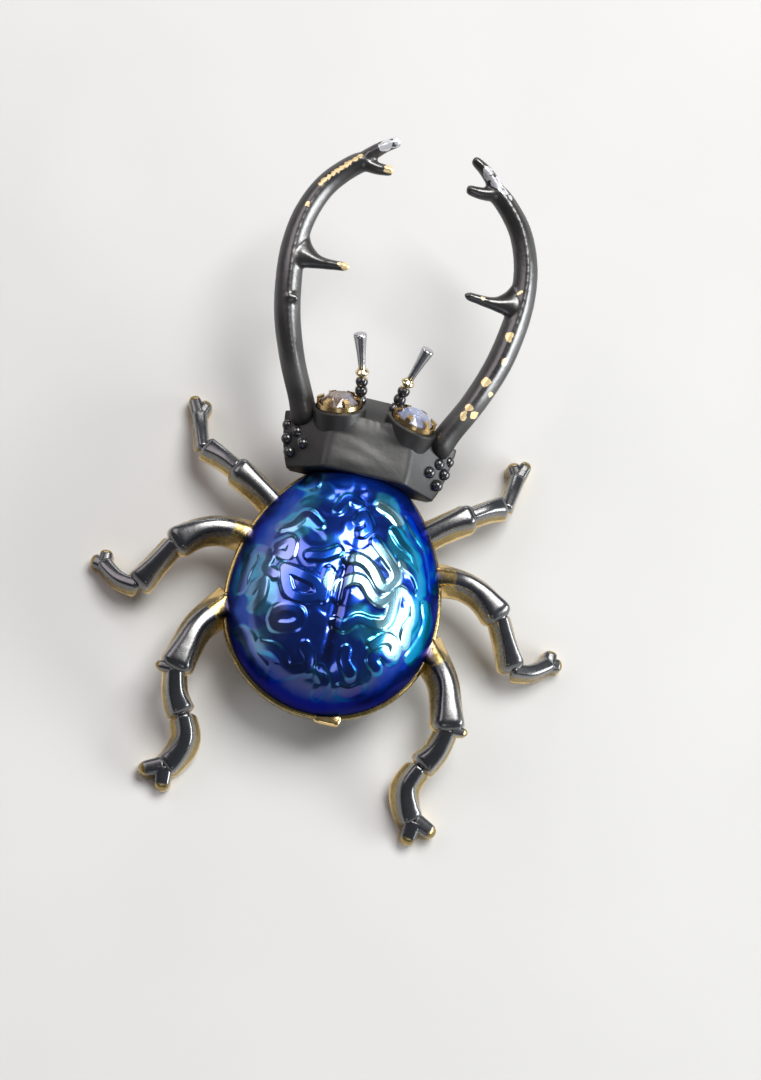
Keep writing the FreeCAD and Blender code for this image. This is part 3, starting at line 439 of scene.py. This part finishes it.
EDGE = [
    # inset from the plate's edge, height (mm), from the middle of the underside to the top
    (6.00, 4.00), (1.00, 4.00), (0.22, 4.00), (0.06, 4.06), (0.00, 4.22),
    (0.00, 4.96), (0.07, 5.13), (0.24, 5.20), (1.00, 5.20), (6.00, 5.20),
]
turns = np.linspace(0, 2 * np.pi, 160, endpoint=False)
rim = egg_reach(turns, PLATE_OVERHANG)
plate = np.empty((len(EDGE), len(turns), 3))
for row, (inset, level) in enumerate(EDGE):
    plate[row, :, 0] = (rim - inset) * np.cos(turns)
    plate[row, :, 1] = DOME_MIDDLE + (rim - inset) * np.sin(turns)
    plate[row, :, 2] = level


def rounded_slab(x, y, z, half_x, half_y, half_z, corner):
    """A flat bar with round corners: rings of a superellipse x^(2/0.35) + y^(2/0.35) = 1, drawn
    in by the corner's size at the underside and at the top."""
    angle = np.linspace(0, 2 * np.pi, 64, endpoint=False)
    lift = np.array([-1.0, -1.0, -0.92, -0.7, 0.7, 0.92, 1.0, 1.0])
    draw = np.array([0.3, corner, corner / 3, 0.0, 0.0, corner / 3, corner, 0.3])
    draw[[0, -1]] = min(half_x, half_y) * 0.9
    power = 0.35
    ring_x = np.sign(np.cos(angle)) * np.abs(np.cos(angle)) ** power
    ring_y = np.sign(np.sin(angle)) * np.abs(np.sin(angle)) ** power
    slab = np.empty((len(lift), len(angle), 3))
    slab[..., 0] = x + ring_x * (half_x - draw[:, None])
    slab[..., 1] = y + ring_y * (half_y - draw[:, None])
    slab[..., 2] = (z + lift * half_z)[:, None]
    return slab


tongue = rounded_slab(0.0, 2.2, 4.6, 4.0, 1.8, 0.6, 0.2)
tab = rounded_slab(1.5, -18.25, 4.6, 1.15, 1.3, 0.6, 0.25)
cover = []
for slab in (plate, tongue):
    apart = np.full(slab.shape[:2], np.inf)
    for segments in LEGS.values():
        root = segments["femur"][0]
        apart = np.minimum(apart, np.hypot(np.abs(slab[..., 0]) - root[0], slab[..., 1] - root[1]))
    cover.append(PLATE_LACQUER * (1 - np.exp(-(apart / ROOT_BARE_MM) ** 2)))
cover.append(np.full(tab.shape[:2], TAB_LACQUER))
base_plate = closed_mesh("base_plate", [plate, tongue, tab], {"lacquer": cover})
base_plate.data.materials.append(lacquered)
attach(base_plate, "root")
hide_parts("leg_frame")


# Wing case: a hollow cast dome with winding veins and a groove down its middle, covered in
# clear blue enamel over bright metal, and seated on the plate.
DOME_BASE = 5.3
DOME_HEIGHT = 7.2
DOME_WALL = 1.1
DOME_BULGE, DOME_POWER = 2.4, 0.55
VEIN_HEIGHT = 0.13
VEIN_TOP, VEIN_FOOT = 0.26, 0.62
SWELL_HEIGHT = 0.035
SWELL_SPACING = 2.1
GROOVE_DEPTH = 0.34
GROOVE_HALF = 0.5

VEINS = [
    # plan positions (mm) that a raised vein winds through, beetle's left to right, front to rear
    [(-4.6, 0.4), (-4.7, -1.3), (-3.8, -1.6), (-3.6, -0.5)],
    [(-1.5, -3.6), (-0.9, -2.4), (-0.1, -2.6)],
    [(0.3, -4.1), (0.6, -3.5), (1.2, -4.5), (0.7, -5.2)],
    [(1.8, -2.4), (2.9, -2.8), (3.6, -3.4)],
    [(4.4, -2.6), (5.2, -3.6), (6.3, -4.6), (7.0, -6.0), (7.4, -7.5)],
    [(3.3, -4.2), (4.1, -5.0), (5.3, -5.6), (6.1, -6.7), (6.5, -8.2)],
    [(4.5, -6.8), (5.6, -7.2), (6.3, -8.1), (6.3, -8.7)],
    [(-5.6, -5.7), (-4.7, -5.4), (-3.8, -4.4), (-2.7, -5.2)],
    [(-5.6, -7.4), (-4.6, -6.9), (-4.6, -8.1), (-5.5, -8.0)],
    [(-3.0, -7.9), (-1.9, -7.7), (-0.9, -7.1)],
    [(0.0, -7.5), (1.1, -7.4), (2.0, -7.9), (3.1, -9.1), (3.9, -8.7), (4.0, -7.6), (1.9, -5.6)],
    [(-0.1, -10.8), (0.0, -9.7), (0.7, -9.1), (1.6, -9.1), (2.5, -10.0), (3.3, -10.3), (4.1, -9.5)],
    [(0.1, -12.7), (0.9, -12.9), (1.8, -12.1), (2.9, -12.1), (4.1, -11.6), (4.5, -9.0), (6.1, -9.4)],
    [(6.2, -9.7), (6.3, -10.7), (5.9, -11.8), (5.9, -12.7)],
    [(7.1, -9.3), (7.6, -10.6), (7.3, -12.3), (6.7, -13.6)],
    [(-1.2, -8.9), (-1.3, -9.9), (-1.3, -11.1)],
    [(-4.7, -9.2), (-3.4, -9.5), (-2.0, -10.0), (-1.6, -10.9), (-2.6, -11.4), (-3.8, -11.2),
     (-4.4, -10.1), (-4.7, -9.2)],
    [(-7.3, -8.2), (-6.8, -7.8), (-6.0, -8.4), (-6.2, -9.3), (-5.3, -9.8)],
    [(-7.6, -11.0), (-7.6, -9.8), (-7.2, -8.6)],
    [(-6.8, -11.2), (-6.1, -10.4), (-6.0, -11.6), (-6.4, -12.5)],
    [(-4.7, -13.3), (-4.5, -12.6), (-3.7, -12.3), (-2.8, -12.5), (-2.6, -13.2), (-3.2, -13.7),
     (-4.3, -13.8), (-4.7, -13.3)],
    [(-6.9, -14.3), (-6.0, -15.0), (-5.5, -16.1), (-4.5, -17.0)],
    [(-5.2, -15.3), (-4.0, -15.5), (-3.0, -16.4), (-3.6, -16.8)],
    [(3.3, -13.7), (4.3, -12.9), (5.2, -13.1), (5.3, -14.0)],
    [(4.2, -15.2), (3.6, -14.7), (4.2, -14.0), (5.0, -14.3)],
    [(-1.8, -14.9), (-1.2, -15.6), (-1.1, -16.5)],
    [(1.4, -14.6), (1.5, -15.4), (2.2, -16.1)],
    [(-3.6, -17.4), (-2.7, -17.0), (-1.7, -16.6)],
    [(-0.2, -16.3), (0.4, -17.2), (0.1, -18.0)],
    [(1.7, -17.4), (2.5, -17.4), (3.3, -16.9)],
]


def vein_field(x, y):
    """Raised veins with flat tops, from the distance d to the nearest smooth line through the
    stated positions: 1 within the top's half width, 0 beyond the foot's, and 3s^2 - 2s^3 of the
    share s of the way between."""
    nearest = np.full(x.shape, 9.0)
    for line in VEINS:
        for px, py in smooth_run(line, 12 * len(line)):
            nearest = np.minimum(nearest, (x - px) ** 2 + (y - py) ** 2)
    share = np.clip((VEIN_FOOT - np.sqrt(nearest)) / (VEIN_FOOT - VEIN_TOP), 0, 1)
    return share ** 2 * (3 - 2 * share)


def swell_field(x, y):
    """Gentle swells from -1 to 1 between the veins: nine plane waves of nearly one spacing,
    turned by the golden angle, added up and flattened by tanh."""
    total = np.zeros_like(x)
    for wave in range(9):
        heading = 2.4 * wave
        spacing = SWELL_SPACING * (1 + 0.2 * math.sin(1.7 * wave))
        along = x * math.cos(heading) + y * math.sin(heading)
        total += np.cos(2 * math.pi * along / spacing + wave * wave)
    return np.tanh(0.7 * total)


def dome_rings(shares, angle, grow, height, relief):
    """Rings over the dome: at a share s of the egg's reach the height is
    height * (1 - s^bulge)^power, with the veins and swells added and the groove taken off where
    relief is true. Also gives the veins' share of their height."""
    reach = egg_reach(angle, grow)
    x = shares[:, None] * reach * np.cos(angle)
    y = DOME_MIDDLE + shares[:, None] * reach * np.sin(angle)
    level = height * (1 - shares ** DOME_BULGE) ** DOME_POWER
    z = np.repeat(level[:, None], len(angle), axis=1)
    veins = np.zeros_like(z)
    if relief:
        fade = np.clip((1 - shares) * 12, 0, 1)[:, None]
        veins = vein_field(x, y)
        swell = swell_field(x, y) * (1 - veins)
        deep_part = np.clip((y + 16.5) / 1.5, 0, 1) * np.clip((-6.5 - y) / 2.0, 0, 1)
        groove = np.exp(-((x / GROOVE_HALF) ** 2)) * GROOVE_DEPTH * (0.25 + 0.75 * deep_part)
        z = z + fade * (VEIN_HEIGHT * veins + SWELL_HEIGHT * swell - groove)
    return np.stack([x, y, DOME_BASE + np.maximum(z, 0)], axis=-1), veins


angle = np.linspace(0, 2 * np.pi, 400, endpoint=False)
shares = 1 - np.linspace(0, 0.997, 170) ** 1.25
outside, veins = dome_rings(shares, angle, 0.0, DOME_HEIGHT, True)
inner_shares = 1 - np.linspace(0, 0.99, 16) ** 1.25
inside, plain = dome_rings(inner_shares, angle, -DOME_WALL, DOME_HEIGHT - DOME_WALL, False)
shell = np.concatenate([inside[::-1], outside])
vein_value = np.concatenate([plain[::-1], veins])
wing_case = closed_mesh("wing_case", [shell], {"vein": [vein_value]})

enamel, shader, place = new_material(
    "blue_enamel", Coat_Roughness=0.08, Coat_IOR=1.65, IOR=1.5,
    Specular_Tint=(0.03, 0.13, 0.42, 1.0))
ridge = place.node("ShaderNodeAttribute", output=2, settings={"attribute_name": "vein"})
across, along, height = place.axes()
navy = (0.003, 0.015, 0.13)
deep = (0.006, 0.042, 0.36)
royal = (0.010, 0.085, 0.60)
teal = (0.04, 0.46, 0.66)
highlight_ice = (0.42, 0.80, 0.92)
lilac_reflection = (0.25, 0.29, 0.42)
pink = (0.30, 0.05, 0.26)
TEAL_POOLS = [
    # x, y, z, radius (mm): where the enamel turns teal
    (1.4, -12.4, 11.9, 1.8), (3.4, -12.6, 11.4, 1.6), (-5.8, -11.6, 10.6, 1.6),
    (-4.6, -15.0, 10.2, 1.5), (5.6, -11.0, 10.6, 1.5), (4.4, -4.8, 10.7, 1.9),
    (-6.6, -9.2, 10.0, 1.2), (-4.8, -5.8, 10.8, 1.4), (2.4, -2.0, 10.4, 1.3),
]
PAINTED_HIGHLIGHT_PLACES = [
    # x, y, z, radius (mm): a painted highlight, pale ice blue mostly on the veins
    (2.7, -8.4, 12.3, 2.7), (4.6, -10.8, 11.3, 1.9), (-0.7, -9.6, 12.6, 0.8),
    (2.7, -2.4, 10.6, 1.5), (5.4, -12.9, 10.7, 1.4),
]
PINK_PLACE = [(2.6, -17.2, 8.9, 0.8)]
cloud = grain(place, 330.0)
shade = (ridge * 0.5 + cloud).lift(0.38, 0.95)
body = shade.blend(deep, royal)
flank = ridge * (1.0 - ridge) * 4.0
right_lines = ridge * ridge * across.lift(4.2, 6.4)
tealed = grain(place, 190.0) + flank * 0.13 + place.near(TEAL_POOLS) * 0.16 + right_lines * 0.20
body = (tealed.lift(0.56, 0.72) * 0.70).blend(body, teal)
# Painted reflection: a lilac sheen over the dome's left side.
left = (0.0 - across + (grain(place, 240.0) - 0.5) * 9.0).lift(2.4, 5.0) * 0.55
body = (left * (0.25 + shade * 0.75)).blend(body, lilac_reflection)
body = (place.near(PINK_PLACE) * 0.5).blend(body, pink)
# Painted highlight: the enamel turns pale ice blue in these places.
painted_highlight = place.near(PAINTED_HIGHLIGHT_PLACES) * (0.22 + ridge * 0.78) + (cloud - 0.5) * 0.7
body = (painted_highlight.lift(0.18, 0.66) * 0.85).blend(body, highlight_ice)
# The enamel darkens to navy low on the dome; at its rear this is a painted dark reflection, and along
# the middle groove painted shade.
low = (height + (cloud - 0.5) * 3.0).lift(8.3, 6.3) * 0.80
rear = (along + (cloud - 0.5) * 4.0).lift(-14.4, -17.4) * 0.85
groove_shade = (across * across).lift(0.35, 0.02) * along.lift(-17.0, -15.0) * along.lift(-5.5, -8.5)
body = low.larger(groove_shade * 0.9).larger(rear).blend(body, navy)
gloss = place.node("ShaderNodeLayerWeight", output=1, Blend=0.5)
feed(shader, Base_Color=body,
     Metallic=0.90 + shade * 0.10, Roughness=0.23 + (grain(place, 600.0) - 0.5) * 0.10,
     Coat_Weight=gloss.lift(0.46, 0.20) * 0.9)
wing_case.data.materials.append(enamel)
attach(wing_case, "root")
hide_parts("wing_case")


# Jaws: two curved horns cast in one with the head, each with a tooth and a forked tip.
# Satin gunmetal plating, rubbed through to gold in spots and to silver at the right jaw's tips; the
# silver along the left jaw's upper tine is a painted highlight.
JAW_SECTION = [
    # share of the foot's half width, share of the crown's half width, height from 0 to 1
    (0.00, 0.00, 0.00), (0.45, 0.00, 0.03), (0.85, 0.00, 0.17), (1.00, 0.00, 0.38),
    (0.48, 0.50, 0.60), (0.00, 0.76, 0.77), (0.00, 0.42, 0.91), (0.00, 0.12, 0.985),
    (0.00, 0.00, 1.00),
]
JAW = {
    # each part: rows of x, y, top, underside, crown width, foot width (mm), right side
    "beam": [(5.3, 3.6, 8.6, 6.0, 2.2, 2.4), (6.2, 5.7, 9.1, 6.8, 1.9, 2.1),
             (7.6, 8.4, 10.1, 8.0, 1.8, 2.1), (8.8, 11.6, 11.0, 8.9, 1.9, 2.2),
             (9.4, 14.6, 11.8, 9.7, 1.9, 2.2), (9.6, 17.3, 12.3, 10.3, 1.8, 2.1),
             (9.25, 20.0, 12.8, 10.9, 1.7, 2.0), (8.2, 22.5, 13.3, 11.5, 1.6, 1.9),
             (6.5, 24.4, 13.8, 12.1, 1.5, 1.8), (4.8, 25.5, 14.2, 12.6, 1.4, 1.7)],
    "upper_tine": [(5.6, 25.2, 14.1, 12.7, 1.1, 1.3), (4.3, 26.3, 14.5, 13.3, 0.95, 1.05),
                   (3.0, 27.0, 14.7, 13.8, 0.70, 0.80)],
    "lower_tine": [(5.9, 24.9, 13.9, 12.5, 1.0, 1.2), (4.4, 24.6, 13.9, 12.8, 0.95, 1.05),
                   (3.0, 24.6, 13.95, 13.1, 0.70, 0.80)],
    "tooth": [(9.2, 16.7, 12.1, 10.6, 3.6, 3.8), (8.4, 16.45, 12.1, 10.8, 2.0, 2.2),
              (7.4, 16.2, 12.15, 11.1, 1.1, 1.2), (6.2, 16.15, 12.3, 11.4, 0.75, 0.85),
              (4.7, 16.2, 12.45, 11.7, 0.65, 0.75)],
}
NUB = [(9.3, 12.9, 11.5, 10.5, 1.0, 1.2), (8.7, 12.9, 11.5, 10.7, 0.8, 0.9),
       (8.2, 12.9, 11.5, 10.9, 0.5, 0.6)]
RUBBED_EDGE = np.linspace((-8.75, 22.3, 13.2, 0.24), (-6.1, 25.05, 13.9, 0.24), 10).tolist()
GOLD_SPOTS = [
    # x, y, z, radius (mm): where the plating is rubbed through to gold
    (-9.3, 20.4, 13.0, 0.30), (-5.0, 16.2, 12.3, 0.50), (-5.6, 16.2, 12.3, 0.28),
    (-3.4, 24.7, 13.8, 0.50), (-2.9, 24.6, 13.8, 0.50),
    (9.1, 13.7, 11.6, 0.40), (9.2, 11.8, 10.95, 0.30), (8.1, 9.9, 10.5, 0.36),
    (8.8, 9.1, 9.9, 0.32), (7.2, 7.6, 9.85, 0.40), (7.8, 7.3, 9.3, 0.36), (6.9, 7.0, 9.6, 0.34),
    (9.1, 17.4, 12.2, 0.26), (6.3, 16.2, 12.3, 0.24),
]
SILVER_WEAR_AND_HIGHLIGHT_SPOTS = [
    # x, y, z, radius (mm): where the right jaw's tips are worn bright, and a painted highlight along the
    # left jaw's upper tine
    (4.6, 26.0, 14.4, 0.70), (5.4, 25.6, 14.2, 0.75), (6.1, 25.2, 14.0, 0.60),
    (6.8, 24.8, 13.8, 0.40), (-2.9, 27.1, 14.6, 0.70), (-3.6, 26.7, 14.5, 0.65),
    (-4.2, 26.3, 14.4, 0.60),
]
RAGGED = 0.7 * MM
FUSE_VOXEL = 0.13 * MM

gunmetal, shader, place = new_material("gunmetal_black", IOR=1.46)
shake = place.node("ShaderNodeTexNoise", output=1, Vector=place, Scale=1500.0, Detail=3.0)
ragged = place.node("ShaderNodeVectorMath", settings={"operation": "MULTIPLY_ADD"}, i0=shake,
                    i1=(RAGGED, RAGGED, RAGGED), i2=place)
ragged = place.node("ShaderNodeVectorMath", settings={"operation": "SUBTRACT"}, i0=ragged,
                    i1=(RAGGED / 2, RAGGED / 2, RAGGED / 2))
gold_wear = ragged.near(GOLD_SPOTS + RUBBED_EDGE).lift(0.35, 0.6)
# Silver: worn plating at the right jaw's tips, a painted highlight on the left jaw's upper tine.
silver_wear_and_highlight = (ragged.near(SILVER_WEAR_AND_HIGHLIGHT_SPOTS) * grain(place, 1800.0, 4.0)).lift(0.36, 0.44)
cloud = grain(place, 300.0)
satin = place.axes()[1].lift(5.5, 9.0)
dark = satin.blend(cloud.blend((0.008, 0.008, 0.0085), (0.020, 0.019, 0.018)),
                   cloud.blend((0.075, 0.075, 0.077), (0.150, 0.146, 0.144)))
worn = silver_wear_and_highlight.blend(gold_wear.blend(dark, (0.86, 0.66, 0.36)), (0.66, 0.66, 0.70))
bare_and_highlit = gold_wear.larger(silver_wear_and_highlight)
feed(shader, Base_Color=worn, Metallic=(satin * 0.85 + bare_and_highlit).lift(0.0, 1.0) * (1.0 - bare_and_highlit * 0.4),
     Roughness=0.43 - satin * 0.11 + (cloud - 0.5) * 0.12)
bump = place.node("ShaderNodeBump", Height=grain(place, 2200.0) - bare_and_highlit * 0.8, Strength=0.15,
                  Distance=0.0001)
feed(shader, Normal=bump)

for side_name, side in SIDES.items():
    tubes = []
    for part, rows in JAW.items():
        beam = part == "beam"
        tubes.append(limb_tube(rows, 90 if beam else 40, 40, JAW_SECTION, side,
                               tip=0.08 if beam else 0.12, root=0.05)[0])
    if side_name == "left":
        tubes.append(limb_tube(NUB, 20, 40, JAW_SECTION, side, tip=0.4, root=0.05)[0])
    jaw = closed_mesh(f"jaw_{side_name}", tubes)
    fuse = jaw.modifiers.new("fuse", "REMESH")
    fuse.mode = "VOXEL"
    fuse.voxel_size = FUSE_VOXEL
    fuse.use_smooth_shade = True
    settle = jaw.modifiers.new("settle", "SMOOTH")
    settle.factor = 0.5
    settle.iterations = 8
    jaw.data.materials.append(gunmetal)
    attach(jaw, "root")
    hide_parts("head_and_jaws")


# Head: a block with a flat crown between two sloping cheeks, a lower face in front, and a round
# socket for each eye. It is one casting with the jaws, matt black.
HEAD = [
    # y, lowest level, half width there, side level, half width there, top level, half width
    (0.2, 5.3, 5.8, 6.2, 6.2, 9.30, 3.4), (1.2, 5.3, 6.2, 6.2, 6.6, 9.42, 3.4),
    (2.6, 5.3, 6.6, 6.4, 7.0, 9.52, 3.3), (3.9, 5.35, 6.8, 6.5, 7.2, 9.62, 3.2),
    (4.9, 5.4, 6.9, 6.6, 7.3, 9.60, 3.1),
]
FACE = [
    (4.0, 5.5, 5.4, 6.4, 5.6, 9.0, 3.4), (5.6, 5.7, 4.4, 6.4, 4.6, 8.4, 3.0),
    (7.2, 5.9, 3.2, 6.4, 3.4, 7.5, 2.4),
]


def block_tube(rows, count, around, rounding):
    """A block along y whose rings follow six corners with straight runs between them, each
    corner rounded by averaging the ring with its neighbours; the ends close flat."""
    run = smooth_run(rows, count)
    y, low, low_half, side, side_half, top, top_half = run.T
    corners = np.stack([
        np.stack([low_half, low], axis=1), np.stack([side_half, side], axis=1),
        np.stack([top_half, top], axis=1), np.stack([-top_half, top], axis=1),
        np.stack([-side_half, side], axis=1), np.stack([-low_half, low], axis=1)], axis=1)
    place = np.linspace(0, 6, around, endpoint=False)
    first = place.astype(int) % 6
    share = (place - np.floor(place))[None, :, None]
    ring = corners[:, first] * (1 - share) + corners[:, (first + 1) % 6] * share
    for _ in range(rounding):
        ring = (np.roll(ring, 1, axis=1) + 2 * ring + np.roll(ring, -1, axis=1)) / 4
    tube = np.empty((count, around, 3))
    tube[..., 0] = ring[..., 0]
    tube[..., 1] = y[:, None]
    tube[..., 2] = ring[..., 1]
    return tube


def turned_tube(start, end, profile, around=32):
    """A turned piece: rings of the profile's radii (share of the length, radius in mm) square
    to the line from start to end."""
    start, end = np.array(start, float), np.array(end, float)
    axis = (end - start) / np.linalg.norm(end - start)
    first = np.cross(axis, [1.0, 0.0, 0.0])
    first /= np.linalg.norm(first)
    second = np.cross(axis, first)
    shape = smooth_run(profile, 40)
    angle = np.linspace(0, 2 * np.pi, around, endpoint=False)
    wheel = np.cos(angle)[:, None] * first + np.sin(angle)[:, None] * second
    return start + shape[:, 0, None, None] * (end - start) + shape[:, 1, None, None] * wheel


EYE_SEAT = (2.85, 4.75, 8.0)
EYE_TILT = math.radians(55.0)
EYE_TURN = math.radians(15.0)
SOCKET_FROM, SOCKET_TO = -1.0, 1.1
COLLAR = [
    # share of the socket's depth, radius (mm), up the outside and down into the opening
    (0.0, 1.9), (0.02, 2.14), (0.5, 2.18), (0.90, 2.18), (0.97, 2.12), (1.0, 1.98),
    (0.995, 1.92), (0.80, 1.90), (0.70, 1.80),
]


def eye_point(side, rise):
    """A place on an eye's axis, rise millimetres out from its seat."""
    lean = np.array([math.sin(EYE_TILT) * math.sin(EYE_TURN) * side,
                     math.sin(EYE_TILT) * math.cos(EYE_TURN), math.cos(EYE_TILT)])
    return np.array(EYE_SEAT) * [side, 1, 1] + lean * rise


# Chasing on the crown: a curved crest, the soft lobe behind it, shallow pits along the front
# edge and a low brow over each eye, each a bump of a Gaussian across its line.
head_tube = block_tube(HEAD, 60, 192, 6)
x, y, z = np.moveaxis(head_tube, -1, 0)
on_top = np.clip((z - 8.8) / 0.6, 0, 1)
crest_line = 2.1 - 0.35 * x - 0.06 * x ** 2
crest = np.exp(-((y - crest_line) / 0.45) ** 2) * np.exp(-((x + 0.6) / 2.0) ** 2)
lobe = np.exp(-((x + 0.9) / 1.6) ** 2 - ((y - 1.0) / 0.9) ** 2)
pits = np.sin(7.1 * x + 2.0 * np.sin(3.0 * x)) * np.exp(-((y - 4.6) / 0.3) ** 2)
brow = np.exp(-((np.abs(x) - 2.9) / 1.3) ** 2) * np.clip((y - 3.2) / 1.5, 0, 1)
head_tube[..., 2] += on_top * (0.05 * crest + 0.12 * lobe + 0.04 * pits + 0.50 * brow)
face_tube = block_tube(FACE, 30, 96, 8)
collars = [turned_tube(eye_point(side, SOCKET_FROM), eye_point(side, SOCKET_TO), COLLAR, 96)
           for side in SIDES.values()]
head = closed_mesh("head", [head_tube, face_tube])
fuse = head.modifiers.new("fuse", "REMESH")
fuse.mode = "VOXEL"
fuse.voxel_size = 0.12 * MM
fuse.use_smooth_shade = True
settle = head.modifiers.new("settle", "SMOOTH")
settle.factor = 0.5
settle.iterations = 3
sockets = closed_mesh("eye_sockets", collars)
for piece in (head, sockets):
    piece.data.materials.append(gunmetal)
    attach(piece, "root")
    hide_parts("head_and_jaws")


# Balls and feelers: cast on the head. Small balls sit on the cheeks, and each feeler is a row
# of beads with a ring and a flared club, dark and shiny from handling, rubbed to silver in patches; each
# club is silver all over, a painted highlight.
def ball_tube(x, y, z, radius, rings=18, around=24):
    """A sphere as rings from the lowest to the highest point."""
    climb = np.linspace(-np.pi / 2 + 0.06, np.pi / 2 - 0.06, rings)
    angle = np.linspace(0, 2 * np.pi, around, endpoint=False)
    tube = np.empty((rings, around, 3))
    tube[..., 0] = x + radius * np.cos(climb)[:, None] * np.cos(angle)
    tube[..., 1] = y + radius * np.cos(climb)[:, None] * np.sin(angle)
    tube[..., 2] = z + radius * np.sin(climb)[:, None]
    return tube


BALL_RADIUS, BEAD_RADIUS = 0.5, 0.52
BALLS = [(6.75, 3.7, 6.5), (5.95, 3.1, 7.3), (5.3, 2.1, 7.8), (6.6, 2.5, 6.7), (6.2, 1.4, 6.9)]
BEADS = [(1.5, 6.7, 8.1), (1.62, 7.3, 8.75), (1.75, 7.85, 9.4)]
CLUB_FROM, CLUB_TO = (1.8, 8.15, 9.8), (2.85, 10.9, 12.2)
CLUB = [(0.0, 0.20), (0.04, 0.42), (0.10, 0.58), (0.16, 0.42), (0.22, 0.30), (0.55, 0.38),
        (0.85, 0.50), (0.95, 0.54), (0.985, 0.46), (1.0, 0.15)]

shiny, shader, place = new_material("handled_black_and_highlit", IOR=1.7)
across, along, height = place.axes()
# Silver: worn in random patches, and over the whole club a painted highlight.
rubbed_and_highlit = (grain(place, 1200.0) + along.lift(8.4, 8.9) * 0.5).lift(0.62, 0.76)
gilt = along.lift(7.9, 8.1) * along.lift(8.9, 8.6)
feed(shader, Base_Color=gilt.blend(rubbed_and_highlit.blend((0.012, 0.012, 0.014), (0.50, 0.50, 0.52)),
                                   (0.72, 0.60, 0.38)),
     Metallic=(rubbed_and_highlit + gilt).lift(0.2, 0.8), Roughness=0.16 + grain(place, 900.0) * 0.14)

for side_name, side in SIDES.items():
    tubes = [ball_tube(x * side, y, z, BALL_RADIUS) for x, y, z in BALLS]
    balls = closed_mesh(f"balls_{side_name}", tubes)
    beads = [ball_tube(x * side, y, z, BEAD_RADIUS) for x, y, z in BEADS]
    beads.append(turned_tube(np.array(CLUB_FROM) * [side, 1, 1], np.array(CLUB_TO) * [side, 1, 1], CLUB))
    feeler = closed_mesh(f"feeler_{side_name}", beads)
    for piece in (balls, feeler):
        piece.data.materials.append(shiny)
        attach(piece, "root")
        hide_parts("head_and_jaws")


# Eyes: cut glass stones held by six claws in gold cups, which are glued into the head's sockets.
# Cups and stones keep their solids' shapes.
bright_gold, shader, place = new_material("bright_gold", Metallic=1.0)
feed(shader, Base_Color=grain(place, 800.0).blend((0.36, 0.22, 0.08), (0.84, 0.62, 0.32)),
     Roughness=0.16 + grain(place, 1800.0) * 0.20)
cut_glass, shader, place = new_material(
    "cut_glass", Metallic=0.0, Roughness=0.02, IOR=1.6, Transmission_Weight=0.55)
across, along, height = place.axes()
# Painted reflection: the stones shade from brown on the left to blue on the right.
tone = (grain(place, 260.0) + across * 0.04).lift(0.35, 0.65)
feed(shader, Base_Color=tone.blend((0.26, 0.19, 0.15), (0.42, 0.48, 0.70)))
for side_name in SIDES:
    for part, finish in (("eye_cup", bright_gold), ("eye_stone", cut_glass)):
        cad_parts[f"{part}_{side_name}"].material_slots[0].material = finish


# Brooch pin: a plain steel bar with a hinge block, a stem and a catch, soldered under the plate.
# It can't be seen in the photograph, so it keeps its solid's plain shape.
steel, shader, place = new_material("pin_steel", Metallic=1.0)
feed(shader, Base_Color=grain(place, 500.0).blend((0.55, 0.53, 0.50), (0.68, 0.66, 0.62)),
     Roughness=0.26 + grain(place, 3000.0) * 0.14)
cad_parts["brooch_pin"].material_slots[0].material = steel


bpy.context.view_layer.update()
